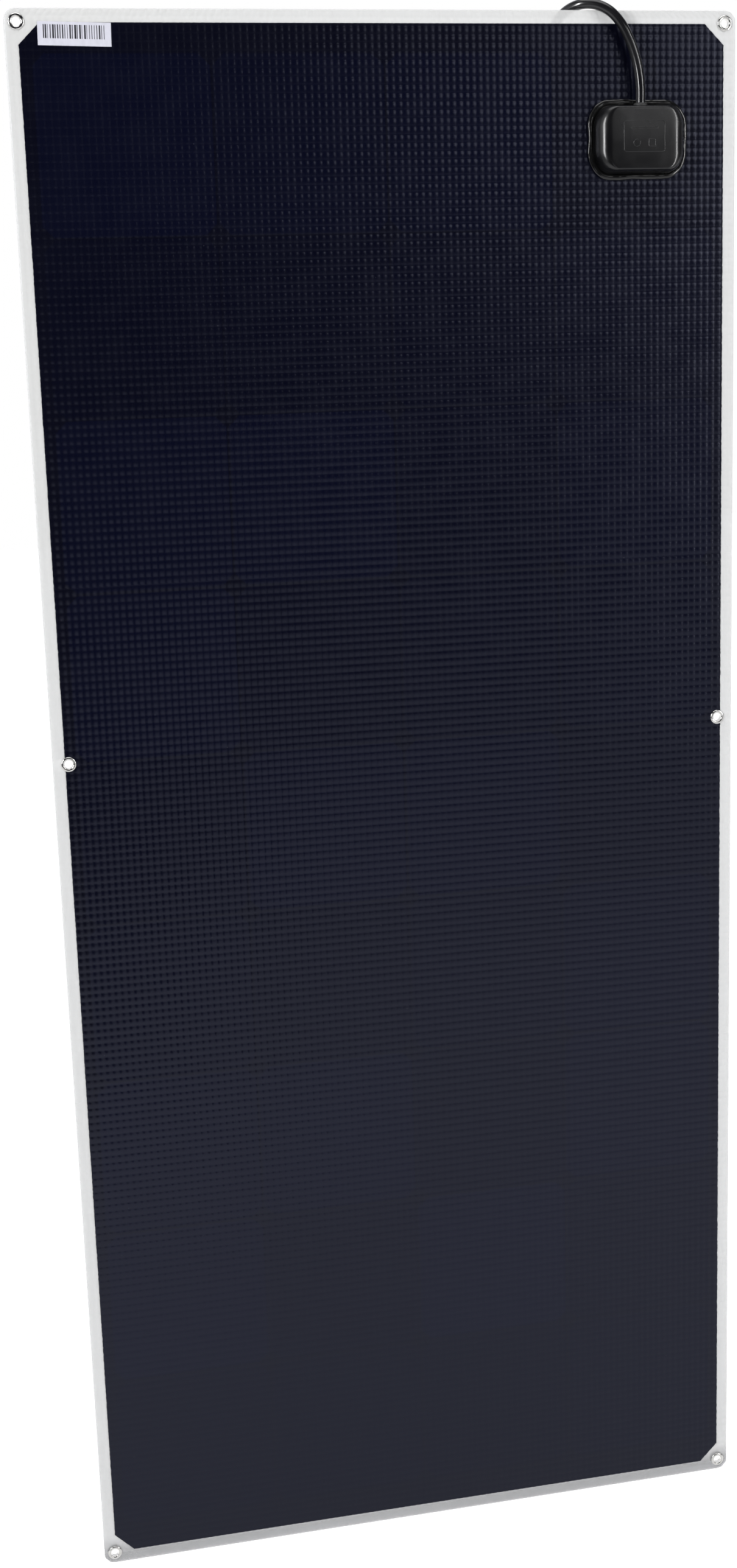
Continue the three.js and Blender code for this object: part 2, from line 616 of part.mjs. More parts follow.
function addBase() {
  const floor = plate(boxOutline(-FLANGE_LEDGE), FLOOR_BACK, FLOOR_THICKNESS);
  const upstand = ring(boxOutline(UPSTAND_INSET), boxOutline(UPSTAND_INSET + UPSTAND_WALL),
    FLOOR_FRONT - ROOT, UPSTAND_HEIGHT + ROOT);
  const bossFront = LEAD_LEVEL - LAYER_GAP;
  const bosses = clampScrewPlaces().map(
    (x) => peg(BOSS_RADIUS, FLOOR_FRONT - ROOT, bossFront - FLOOR_FRONT + ROOT, x, CLAMP_Z),
  );
  const pilotDepth = SCREW_LENGTH + CUT_REACH;
  const pilotHoles = clampScrewPlaces().map(
    (x) => peg(SCREW_RADIUS + FIT_GAP, bossFront - SCREW_LENGTH, pilotDepth, x, CLAMP_Z),
  );
  const postMiddle = (TERMINAL_BOTTOM + TERMINAL_TOP) / 2 + POST_RISE;
  const posts = terminalPlaces().map((x) => block(
    x - POST_WIDTH / 2, x + POST_WIDTH / 2, postMiddle - POST_LENGTH / 2,
    postMiddle + POST_LENGTH / 2, FLOOR_FRONT - ROOT, TERMINAL_STAND + ROOT,
  ));
  const solid = join(floor, upstand, ...bosses, ...posts);
  const slot = ribbonSlot(FLOOR_BACK - CUT_REACH, FLOOR_THICKNESS + 2 * CUT_REACH);
  addPiece('box_base', cut(solid, slot, leadPassage(), ...pilotHoles), finishes.boxPlastic);
}

// The dome's section across the box, with elliptical flanks, carried along the box's depth
function domeSolid(inset, front) {
  const half = BOX_WIDTH / 2 - inset;
  const flat = COVER_FLAT_WIDTH / 2 - inset / 2;
  const shoulder = -COVER_BACK - COVER_SKIRT;
  const rise = front - COVER_BACK - COVER_SKIRT;
  const section = new THREE.Shape();
  section.moveTo(half, -COVER_BACK + inset);
  section.lineTo(half, shoulder);
  section.absellipse(flat, shoulder, half - flat, rise, 0, -Math.PI / 2, true, 0);
  section.absellipse(-flat, shoulder, half - flat, rise, -Math.PI / 2, -Math.PI, true, 0);
  section.lineTo(-half, -COVER_BACK + inset);
  section.closePath();
  const depth = BOX_DEPTH + 2 * CUT_REACH;
  const options = { depth, bevelEnabled: false, curveSegments: DOME_SEGMENTS };
  const geometry = new THREE.ExtrudeGeometry(section, options);
  geometry.translate(BOX_X, 0, BOX_Z - depth / 2);
  const length = front - COVER_BACK + 2 * inset;
  const outline = plate(boxOutline(inset), COVER_BACK - 2 * inset, length);
  return toSolid(geometry).intersect(outline);
}

function addCover() {
  const outer = domeSolid(0, COVER_FRONT);
  const inner = domeSolid(COVER_WALL, COVER_FRONT - COVER_TOP_WALL);
  addPiece('box_cover', cut(outer, inner, leadPassage()), finishes.boxPlastic);
}

function addGasket() {
  const outer = boxOutline(COVER_WALL + FIT_GAP);
  const inner = boxOutline(UPSTAND_INSET - FIT_GAP);
  const gasket = ring(outer, inner, FLOOR_FRONT + LAYER_GAP, GASKET_HEIGHT);
  addPiece('cover_gasket', cut(gasket, leadPassage()), finishes.rubber);
}

function addTerminalsAndDiode() {
  const names = ['positive_terminal', 'negative_terminal'];
  terminalPlaces().forEach((x, index) => {
    const half = TERMINAL_WIDTH / 2;
    const tongue = block(
      x - half, x + half, TERMINAL_BOTTOM, TERMINAL_TOP, TERMINAL_BACK, TERMINAL_THICKNESS,
    );
    addPiece(names[index], tongue, finishes.copper);
  });
  const level = TERMINAL_BACK + DIODE_RADIUS;
  const height = TERMINAL_BOTTOM + DIODE_RADIUS + DIODE_RISE;
  const leadReach = TERMINAL_SPREAD - TERMINAL_WIDTH / 2 - FIT_GAP;
  const body = new THREE.CylinderGeometry(DIODE_RADIUS, DIODE_RADIUS, DIODE_LENGTH, ROUND_SEGMENTS);
  const leads = new THREE.CylinderGeometry(
    DIODE_LEAD_RADIUS, DIODE_LEAD_RADIUS, 2 * leadReach, SMALL_SEGMENTS,
  );
  const place = (geometry) => {
    geometry.rotateZ(Math.PI / 2);
    geometry.translate(BOX_X, -level, height);
    return toSolid(geometry);
  };
  addPiece('bypass_diode', join(place(body), place(leads)), finishes.diode);
}

function addClamp() {
  const bottom = CLAMP_Z - CLAMP_LENGTH / 2;
  const top = CLAMP_Z + CLAMP_LENGTH / 2;
  const reach = CLAMP_HALF + CLAMP_EAR_WIDTH;
  const ears = block(BOX_X - reach, BOX_X + reach, bottom, top, CLAMP_BACK, CLAMP_EAR_THICKNESS);
  const arch = block(BOX_X - CLAMP_HALF, BOX_X + CLAMP_HALF, bottom, top, CLAMP_BACK, CLAMP_HALF);
  const bore = uprightRod(CLAMP_PASSAGE, bottom - CUT_REACH, top + CUT_REACH, BOX_X, LEAD_LEVEL);
  const depth = CLAMP_EAR_THICKNESS + 2 * CUT_REACH;
  const holes = clampScrewPlaces().map(
    (x) => peg(SCREW_RADIUS + FIT_GAP, CLAMP_BACK - CUT_REACH, depth, x, CLAMP_Z),
  );
  addPiece('cable_clamp', cut(join(ears, arch), bore, ...holes), finishes.boxPlastic);

  const headBack = CLAMP_BACK + CLAMP_EAR_THICKNESS + LAYER_GAP;
  const sides = ['left', 'right'];
  clampScrewPlaces().forEach((x, index) => {
    const shank = peg(SCREW_RADIUS, headBack - SCREW_LENGTH, SCREW_LENGTH + ROOT, x, CLAMP_Z);
    const head = peg(SCREW_HEAD_RADIUS, headBack, SCREW_HEAD_HEIGHT, x, CLAMP_Z);
    addPiece(`clamp_screw_${sides[index]}`, join(shank, head), finishes.steel);
  });
}

function addSeal() {
  const bottom = BOX_TOP_WALL - UPSTAND_INSET - UPSTAND_WALL - SEAL_INNER_LENGTH;
  const bore = LEAD_RADIUS + FIT_GAP;
  const points = [
    [bore, bottom], [SEAL_RADIUS, bottom], [SEAL_RADIUS, BOX_TOP_WALL],
    [bore + SEAL_LIP_WALL, BOX_TOP_WALL + SEAL_LIP], [bore, BOX_TOP_WALL + SEAL_LIP],
    [bore, bottom],
  ].map(([radius, height]) => new THREE.Vector2(radius, height));
  const geometry = new THREE.LatheGeometry(points, ROUND_SEGMENTS);
  geometry.rotateX(Math.PI / 2);
  geometry.translate(BOX_X, -LEAD_LEVEL, 0);
  addPiece('cable_seal', toSolid(geometry), finishes.rubber);
}

// Lead

function addLead() {
  const inside = [
    [0, -LEAD_LEVEL, LEAD_START_Z],
    [0, -LEAD_LEVEL, (LEAD_START_Z + LEAD_ROUTE[0][2]) / 2],
  ];
  const route = [...inside, ...LEAD_ROUTE].map(([x, y, z]) => [BOX_X + x, y, z]);
  addPiece('lead_sheath', bar(route, LEAD_RADIUS, LEAD_SIDES, LEAD_STEPS), finishes.leadSheath);

  const [endX, endY, endZ] = route[route.length - 1];
  const cores = [['positive', -1, finishes.redCore], ['negative', 1, finishes.blackCore]];
  cores.forEach(([name, side, finish]) => {
    const near = endX + side * CORE_SPREAD;
    const far = endX + side * FREE_CORE_SPREAD;
    const top = endZ - FIT_GAP;
    const bottom = top - FREE_CORE_LENGTH;
    const points = [
      [near, endY, top], [near, endY, top - FREE_CORE_STRAIGHT],
      [(near + far) / 2, endY, (top + bottom) / 2],
      [far, endY, bottom + FREE_CORE_STRAIGHT], [far, endY, bottom],
    ];
    addPiece(`${name}_core`, bar(points, CORE_RADIUS, CORE_SIDES, FREE_CORE_STEPS), finish);
    addFerrule(`${name}_ferrule`, far, endY, bottom - FIT_GAP);
    addInnerCore(name, side, finish);
  });
}

function addFerrule(name, x, y, top) {
  const collarEnd = FERRULE_COLLAR_LENGTH;
  const pinEnd = collarEnd + FERRULE_PIN_LENGTH;
  const points = [
    [0, 0], [FERRULE_COLLAR_RADIUS, 0], [FERRULE_COLLAR_RADIUS, collarEnd - FERRULE_TAPER],
    [FERRULE_PIN_RADIUS, collarEnd], [FERRULE_PIN_RADIUS, pinEnd], [0, pinEnd],
  ].map(([radius, drop]) => new THREE.Vector2(radius, drop));
  const geometry = new THREE.LatheGeometry(points, FERRULE_SEGMENTS);
  geometry.rotateX(-Math.PI / 2);
  geometry.translate(x, y, top);
  addPiece(name, toSolid(geometry), finishes.steel);
}

// A core inside the box: straight out of the sheath, then outwards and back onto its terminal
function addInnerCore(name, side, finish) {
  const startX = BOX_X + side * CORE_SPREAD;
  const endX = BOX_X + side * TERMINAL_SPREAD;
  const endLevel = TERMINAL_BACK + TERMINAL_THICKNESS + INNER_CORE_RADIUS + FIT_GAP;
  const start = LEAD_START_Z - FIT_GAP;
  const end = TERMINAL_TOP - SOLDER_DROP;
  const points = [
    [startX, -LEAD_LEVEL, start], [startX, -LEAD_LEVEL, start - INNER_CORE_STRAIGHT],
    [(startX + endX) / 2, -(LEAD_LEVEL + endLevel) / 2, (start + end) / 2 - INNER_CORE_SAG],
    [endX - side, -endLevel, end + INNER_CORE_TURN], [endX, -endLevel, end],
  ];
  const core = bar(points, INNER_CORE_RADIUS, CORE_SIDES, INNER_CORE_STEPS);
  addPiece(`${name}_inner_core`, core, finish);
}

addLayers();
addCells();
addEyelets();
addLabel();
addBead();
addBase();
addCover();
addGasket();
addTerminalsAndDiode();
addClamp();
addSeal();
addLead();

export default sheet;
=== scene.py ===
"""Looks of a flexible solar sheet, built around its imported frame.

The sheet is a laminate: an embossed clear film in front, solar cells and a black core inside
and a clear film behind. It has metal eyelets, a junction box on a bead of sealant, and a lead
that hangs over its top edge. Units are metres. X runs to the right seen from the front, Y to
the rear and Z up. A level is a distance forwards from the sheet's rear face, along -Y.
"""

import json
import logging
import math
from dataclasses import dataclass, field
from enum import Enum

import bmesh
import bpy
import numpy as np
from mathutils import Matrix, Vector


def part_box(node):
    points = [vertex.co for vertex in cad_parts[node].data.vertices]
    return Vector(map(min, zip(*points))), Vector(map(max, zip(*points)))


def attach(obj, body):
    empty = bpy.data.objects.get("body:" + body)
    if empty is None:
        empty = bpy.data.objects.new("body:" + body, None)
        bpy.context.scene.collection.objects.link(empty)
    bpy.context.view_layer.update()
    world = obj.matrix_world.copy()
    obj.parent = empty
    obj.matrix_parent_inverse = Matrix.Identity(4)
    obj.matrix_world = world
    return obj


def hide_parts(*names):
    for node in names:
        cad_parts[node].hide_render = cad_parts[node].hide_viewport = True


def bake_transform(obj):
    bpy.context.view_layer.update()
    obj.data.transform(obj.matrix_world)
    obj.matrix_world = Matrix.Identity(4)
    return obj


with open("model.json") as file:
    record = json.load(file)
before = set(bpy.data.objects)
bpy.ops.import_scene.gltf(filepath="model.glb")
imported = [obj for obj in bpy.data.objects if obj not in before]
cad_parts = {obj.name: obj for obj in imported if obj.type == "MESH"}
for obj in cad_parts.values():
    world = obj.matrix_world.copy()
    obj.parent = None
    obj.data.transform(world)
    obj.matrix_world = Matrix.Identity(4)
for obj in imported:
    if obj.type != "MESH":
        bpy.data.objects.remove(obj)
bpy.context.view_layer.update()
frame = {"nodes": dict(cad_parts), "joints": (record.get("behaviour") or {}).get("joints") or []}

log = logging.getLogger("solar_sheet")

MM = 0.001
UPPER_BODY = "root"
LOWER_BODY = "lower_half"
SEED = 20
ROD_SIDES = 48

Point = tuple[float, float, float]
Colour = tuple[float, float, float]
Socket = bpy.types.NodeSocket
Object = bpy.types.Object


class Wrap(Enum):
    """Which ways a grid of points closes on itself."""

    NONE = (False, False)
    AROUND = (False, True)
    BOTH = (True, True)


class Place(Enum):
    """The body that a piece moves with."""

    UPPER = UPPER_BODY
    LOWER = LOWER_BODY
    BENDS = "bends between both"


# Meshes


def new_object(name: str, data: bpy.types.ID) -> Object:
    """A new object that holds some data, linked to the scene."""
    made = bpy.data.objects.new(name, data)
    bpy.context.scene.collection.objects.link(made)
    return made


def round_steps(sides: int) -> np.ndarray:
    """Equal steps round a whole turn, in radians."""
    return np.linspace(0, 2 * np.pi, sides, endpoint=False)


def unit(vectors: np.ndarray) -> np.ndarray:
    """The vectors, each brought to a length of 1."""
    return vectors / np.linalg.norm(vectors, axis=-1, keepdims=True)


def run_along(path: np.ndarray) -> np.ndarray:
    """How far along a path each of its points lies."""
    return np.concatenate([[0], np.cumsum(np.linalg.norm(np.diff(path, axis=0), axis=1))])


def vertex_places(mesh: bpy.types.Mesh) -> np.ndarray:
    """The places of a mesh's points, as rows of X, Y and Z."""
    places = np.empty(len(mesh.vertices) * 3, np.float32)
    mesh.vertices.foreach_get("co", places)
    return places.reshape(-1, 3)


def grid_faces(rows: int, columns: int, wrap: Wrap = Wrap.NONE) -> np.ndarray:
    """Quads that join a grid of points numbered row by row.

    Args:
        rows: How many rows of points there are.
        columns: How many points each row has.
        wrap: Whether the last row joins the first, and the last column the first.

    Returns:
        An array of four point numbers for each quad.
    """
    along, around = wrap.value
    first = np.arange(rows if along else rows - 1)[:, None]
    side = np.arange(columns if around else columns - 1)[None, :]
    next_row, next_side = (first + 1) % rows, (side + 1) % columns
    corners = [first * columns + side, first * columns + next_side,
               next_row * columns + next_side, next_row * columns + side]
    return np.stack(np.broadcast_arrays(*corners), axis=-1).reshape(-1, 4)


def piece_from(name: str, points: np.ndarray, faces: list, smooth_below: float = 40.0) -> Object:
    """A new object at the origin with outward faces, smooth where they meet at a small angle.

    Args:
        name: The piece's name.
        points: Its points in the row frame, as rows of X, Y and Z.
        faces: Lists of point numbers.
        smooth_below: The largest angle in degrees that is shaded as a smooth turn.

    Returns:
        The object, linked to the scene.
    """
    mesh = bpy.data.meshes.new(name)
    mesh.from_pydata(points.reshape(-1, 3).tolist(), [], faces)
    piece = new_object(name, mesh)
    face_outwards(mesh)
    mesh.polygons.foreach_set("use_smooth", np.ones(len(mesh.polygons), bool))
    mesh.set_sharp_from_angle(angle=math.radians(smooth_below))
    return piece


def face_outwards(mesh: bpy.types.Mesh) -> None:
    """Turns every face of a closed mesh to point out of it."""
    work = bmesh.new()
    work.from_mesh(mesh)
    bmesh.ops.recalc_face_normals(work, faces=work.faces)
    work.to_mesh(mesh)
    work.free()


def tube(name: str, rings: np.ndarray) -> Object:
    """A closed bar through rings of points, with a flat end at each side.

    Args:
        name: The piece's name.
        rings: Points as rings along the bar, points round each ring, and X, Y and Z.

    Returns:
        The piece.
    """
    count, sides = rings.shape[:2]
    faces = grid_faces(count, sides, Wrap.AROUND).tolist()
    faces.append(list(range(sides)))
    faces.append(list(range((count - 1) * sides, count * sides)))
    return piece_from(name, rings, faces)


def turned(name: str, profile: np.ndarray, centre: Point, axis: str, sides: int = 64) -> Object:
    """A ring turned from a closed profile.

    A point at radius r and height h, turned by angle a, lies r times the cosine of a along the
    first crossing direction, r times its sine along the second, and h along the axis.

    Args:
        name: The piece's name.
        profile: Rows of radius and height that close on themselves.
        centre: The point on the axis at height zero.
        axis: "Y" for heights along -Y, or "Z" for heights along Z.
        sides: How many steps go round.

    Returns:
        The piece.
    """
    angle = round_steps(sides)[:, None]
    radius, height = profile[:, 0], profile[:, 1]
    across, along = radius * np.cos(angle), radius * np.sin(angle)
    height = np.broadcast_to(height, across.shape)
    parts = (across, -height, along) if axis == "Y" else (across, along, height)
    points = np.stack(parts, axis=-1) + np.array(centre)
    return piece_from(name, points, grid_faces(sides, len(profile), Wrap.BOTH).tolist())


def arc(centre: tuple, radii: tuple, start: float, end: float, steps: int) -> np.ndarray:
    """Points on an ellipse's arc: centre plus the radii times cosine and sine of the angle.

    Args:
        centre: The ellipse's middle, as radius and level.
        radii: Its half sizes.
        start: The first angle in degrees.
        end: The last angle in degrees.
        steps: How many points there are.

    Returns:
        The points, as rows of radius and level.
    """
    angle = np.radians(np.linspace(start, end, steps))
    return np.stack([centre[0] + radii[0] * np.cos(angle),
                     centre[1] + radii[1] * np.sin(angle)], axis=-1)


def round_corner_outline(half: np.ndarray, corner: np.ndarray, steps: int) -> np.ndarray:
    """Outlines of rectangles whose corners are quarter ellipses.

    In each corner a point is the rectangle's half size less the corner's size, plus the
    corner's size times the cosine and sine of an angle that runs through a quarter turn.

    Args:
        half: Half sizes, as rows of across and along.
        corner: Corner sizes, as rows of across and along.
        steps: Points in each corner.

    Returns:
        Points as outlines, points round each, and across and along.
    """
    side = np.repeat(np.array([[1, 1], [-1, 1], [-1, -1], [1, -1]]), steps, axis=0)
    quarter = np.repeat(np.arange(4), steps) * np.pi / 2
    angle = quarter + np.tile(np.linspace(0, np.pi / 2, steps), 4)
    direction = np.stack([np.cos(angle), np.sin(angle)], axis=-1)
    half, corner = half[:, None, :], corner[:, None, :]
    return side * (half - corner) + corner * direction


def apply_modifiers(piece: Object) -> None:
    """Puts what a piece's modifiers make into its mesh and removes them."""
    graph = bpy.context.evaluated_depsgraph_get()
    mesh = bpy.data.meshes.new_from_object(piece.evaluated_get(graph))
    piece.modifiers.clear()
    piece.data = mesh


def cut_away(piece: Object, cutters: list[Object]) -> None:
    """Cuts closed cutters out of a piece and deletes them."""
    for cutter in cutters:
        modifier = piece.modifiers.new("cut", "BOOLEAN")
        modifier.operation = "DIFFERENCE"
        modifier.solver = "MANIFOLD"
        modifier.object = cutter
    apply_modifiers(piece)
    for cutter in cutters:
        bpy.data.objects.remove(cutter)


def rod(name: str, centre: Point, radius: float, length: float, axis: str) -> Object:
    """A plain round rod, used as a cutter.

    Args:
        name: The piece's name.
        centre: The middle of the rod.
        radius: Its radius.
        length: Its length.
        axis: "Y" or "Z", the direction that it lies along.

    Returns:
        The rod.
    """
    angle = round_steps(ROD_SIDES)
    across, along = radius * np.cos(angle), radius * np.sin(angle)
    ends = np.array([-length / 2, length / 2])[:, None]
    across, along, ends = np.broadcast_arrays(across, along, ends)
    parts = (across, ends, along) if axis == "Y" else (across, along, ends)
    return tube(name, np.stack(parts, axis=-1) + np.array(centre))


def smooth_route(points: np.ndarray, steps: int) -> np.ndarray:
    """A centripetal Catmull-Rom curve through the points, as the frame's cords have.

    Each stretch is a cubic between two points. Its end slopes are the differences to the
    points on either side, each divided by the square root of its distance.

    Args:
        points: The points to go through.
        steps: How many short lines each stretch is made of.

    Returns:
        Points along the curve.
    """
    ends = [2 * points[0] - points[1], *points, 2 * points[-1] - points[-2]]
    around = np.array(ends)
    p0, p1, p2, p3 = around[:-3], around[1:-2], around[2:-1], around[3:]
    gap0, gap1, gap2 = (np.sqrt(np.linalg.norm(b - a, axis=1, keepdims=True))
                        for a, b in ((p0, p1), (p1, p2), (p2, p3)))
    slope1 = ((p1 - p0) / gap0 - (p2 - p0) / (gap0 + gap1) + (p2 - p1) / gap1) * gap1
    slope2 = ((p2 - p1) / gap1 - (p3 - p1) / (gap1 + gap2) + (p3 - p2) / gap2) * gap1
    t = np.linspace(0, 1, steps, endpoint=False)[:, None, None]
    curve = ((2 * t**3 - 3 * t**2 + 1) * p1 + (t**3 - 2 * t**2 + t) * slope1
             + (3 * t**2 - 2 * t**3) * p2 + (t**3 - t**2) * slope2)
    return np.concatenate([curve.transpose(1, 0, 2).reshape(-1, 3), points[-1:]])


def rings_along(path: np.ndarray, radius: np.ndarray, sides: int, upright: Point) -> np.ndarray:
    """Rings of points square to a path.

    The first crossing direction is the upright less its share along the path, and the second
    is square to both. A point is the path plus the radius times cosine and sine of its angle.

    Args:
        path: Points along the centre line.
        radius: The radius at each point of the path and each side.
        sides: Points in each ring.
        upright: A direction that the path never takes.

    Returns:
        Points as rings, points round each, and X, Y and Z.
    """
    along = unit(np.gradient(path, axis=0))
    first = unit(np.array(upright) - along * (along @ np.array(upright))[:, None])
    second = np.cross(along, first)
    angle = round_steps(sides)[None, :, None]
    direction = first[:, None] * np.cos(angle) + second[:, None] * np.sin(angle)
    return path[:, None] + np.asarray(radius)[..., None] * direction


def settle(piece: Object, place: Place, slot: str, material: bpy.types.Material,
           *stands_for: str) -> Object:
    """Gives a finished piece its material, its body and the nodes that it stands for.

    Args:
        piece: The finished object.
        place: The body that it moves with.
        slot: The name of its material slot; not used.
        material: Its material.
        stands_for: The names of the frame's nodes that it replaces.

    Returns:
        The piece.
    """
    piece.data.materials.clear()
    piece.data.materials.append(material)
    if stands_for:
        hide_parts(*stands_for)
    if place is Place.BENDS:
        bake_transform(piece)
    else:
        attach(piece, place.value)
    log.info("%s: %d faces", piece.name, len(piece.data.polygons))
    return piece


# Places in the sheet


@dataclass(frozen=True)
class Layout:
    """Places that the layers share. The sheet's own come from the frame."""

    cell_pitch: float = 127 * MM
    cell_size: float = 125 * MM
    cell_corner: float = 8 * MM
    columns: int = 4
    rows: int = 9
    field_top: float = -20.2 * MM
    core_corner: float = 15 * MM
    bend_reach: float = 115 * MM

    @property
    def flex_line(self) -> float:
        """The height of the joint that the sheet bends about."""
        return frame["joints"][0]["pos_m"][2]

    @property
    def bend_start(self) -> Point:
        """The point where the bend starts, on the upper half."""
        return (0.0, 0.0, self.flex_line + self.bend_reach)

    @property
    def bend_end(self) -> Point:
        """The point where the bend ends, on the lower half."""
        return (0.0, 0.0, self.flex_line - self.bend_reach)


LAYOUT = Layout()


# Camera, light and floor


@dataclass(frozen=True)
class SoftBox:
    """An area light: its place, the point it faces, its width and height, and its watts."""

    name: str
    place: Point
    aim: Point
    size: tuple[float, float]
    power: float

    def build(self) -> None:
        """Makes the light and turns it to its aim."""
        data = bpy.data.lights.new(self.name, "AREA")
        data.shape = "RECTANGLE"
        data.size, data.size_y = self.size
        data.energy = self.power
        light = new_object(self.name, data)
        light.location = self.place
        direction = Vector(self.aim) - Vector(self.place)
        light.rotation_mode = "QUATERNION"
        light.rotation_quaternion = direction.to_track_quat("-Z", "Y")


@dataclass(frozen=True)
class Studio:
    """The camera, a soft white surround, four soft boxes, a pale floor and a black card.

    Each glow of the surround has the part of the direction that it depends on, the value
    where it starts, the value where it is full, and how strong it is then.
    """

    place: Point = (-0.353, -1.4917, -0.2347)
    yaw: float = math.radians(12.26)
    pitch: float = math.radians(12.08)
    roll: float = math.radians(1.86)
    lens: float = 45.98
    dim: Colour = (0.012, 0.012, 0.018)
    bright: Colour = (0.95, 0.96, 1.0)
    white: Colour = (1.0, 1.0, 1.0)
    glows: tuple = (("Y", 0.0, 0.7, 1.0), ("Z", 0.75, 1.0, 1.0), ("X", 0.45, 0.95, 0.10),
                    ("X", -0.60, -0.85, 0.90), ("Z", 0.02, -0.06, 0.11))
    boxes: tuple[SoftBox, ...] = (
        SoftBox("left_box", (-1.75, -1.35, 0.25), (0.19, 0.0, -0.1), (0.26, 1.3), 40),
        SoftBox("right_box", (1.66, -1.50, 0.05), (0.19, 0.0, -0.1), (0.16, 1.5), 22),
        SoftBox("top_box", (0.0, -0.6, 1.9), (0.0, 0.0, -0.4), (2.2, 1.6), 22),
        SoftBox("floor_box", (1.9, -3.2, 0.6), (1.3, -3.2, -1.42), (1.6, 1.6), 20))
    floor_level: float = -1.42
    floor_half: float = 12.0
    floor_colour: Colour = (0.8, 0.8, 0.8)
    glow_start: float = 0.0
    glow_full: float = 0.15
    glow_strength: float = 0.7
    matt: float = 0.9
    card_left: float = -2.6
    card_right: float = -0.12
    card_top: float = -0.25
    card_place: float = -2.2
    card_black: Colour = (0.003, 0.003, 0.004)

    def camera(self) -> None:
        """Makes the camera. It looks along yaw and pitch, and roll turns it about that line."""
        forward = Vector((math.sin(self.yaw) * math.cos(self.pitch),
                          math.cos(self.yaw) * math.cos(self.pitch), -math.sin(self.pitch)))
        level = forward.cross(Vector((0, 0, 1))).normalized()
        down = forward.cross(level)
        right = level * math.cos(self.roll) + down * math.sin(self.roll)
        up = level * math.sin(self.roll) - down * math.cos(self.roll)
        data = bpy.data.cameras.new("camera")
        data.lens = self.lens
        camera = new_object("camera", data)
        turn = Matrix((right, up, -forward)).transposed().to_4x4()
        camera.matrix_world = Matrix.Translation(self.place) @ turn
        bpy.context.scene.camera = camera

    def surround(self) -> None:
        """A white backdrop to look at, and a dimmer room that lights and is reflected."""
        world = bpy.data.worlds.new("studio")
        bpy.context.scene.world = world
        world.use_nodes = True
        graph = Graph(world.node_tree)
        graph.tree.nodes.clear()
        direction = graph.node("ShaderNodeTexCoord").outputs["Generated"]
        parts = graph.node("ShaderNodeSeparateXYZ", {"Vector": direction}).outputs
        light = 0.0
        for part, start, full, strength in self.glows:
            glow = graph.ramp(parts[part], start, full, 0.0, strength)
            light = graph.math("MAXIMUM", light, glow)
        room = graph.mix(light, self.dim, self.bright)
        seen = graph.node("ShaderNodeLightPath").outputs["Is Camera Ray"]
        colour = graph.mix(seen, room, self.white)
        background = graph.node("ShaderNodeBackground", {"Color": colour})
        output = graph.node("ShaderNodeOutputWorld")
        graph.tree.links.new(background.outputs["Background"], output.inputs["Surface"])

    def card(self, name: str, corners: list, material: bpy.types.Material) -> Object:
        """One flat face with four corners."""
        mesh = bpy.data.meshes.new(name)
        mesh.from_pydata(corners, [], [[0, 1, 2, 3]])
        mesh.materials.append(material)
        return new_object(name, mesh)

    def floor(self) -> None:
        """A plain pale floor far enough down for the hanging sheet."""
        far, level = self.floor_half, self.floor_level
        corners = [(-far, -far, level), (far, -far, level), (far, far, level), (-far, far, level)]
        floor = self.card("floor", corners, self.floor_paint())

    def dark_card(self) -> None:
        """A black card at the front left, seen only in reflections.

        It darkens the side of each pad that faces left, as a black flag in a studio does.
        """
        x0, x1, y = self.card_left, self.card_right, self.card_place
        z0, z1 = self.floor_level, self.card_top
        corners = [(x0, y, z0), (x1, y, z0), (x1, y, z1), (x0, y, z1)]
        black = Finish("card_black", self.card_black, roughness=self.matt).material()
        card = self.card("dark_card", corners, black)
        for kind in ("camera", "diffuse", "transmission", "shadow"):
            setattr(card, f"visible_{kind}", False)

    def floor_paint(self) -> bpy.types.Material:
        """Matt pale paint that glows white behind the object, as a lit backdrop does."""
        material, graph, shader = new_material("floor_paint")
        _, y, _ = graph.split(graph.object_place())
        glow = graph.ramp(y, self.glow_start, self.glow_full)
        graph.feed(shader.inputs["Emission Color"], graph.mix(glow, (0, 0, 0), self.white))
        graph.feed(shader.inputs["Emission Strength"], self.glow_strength)
        graph.feed(shader.inputs["Base Color"], self.floor_colour)
        graph.feed(shader.inputs["Roughness"], self.matt)
        return material

    def build(self) -> None:
        """Makes the camera first and then everything round the object."""
        self.camera()
        self.surround()
        for box in self.boxes:
            box.build()
        self.floor()
        self.dark_card()
        bpy.context.scene.view_settings.view_transform = "Standard"


# Materials


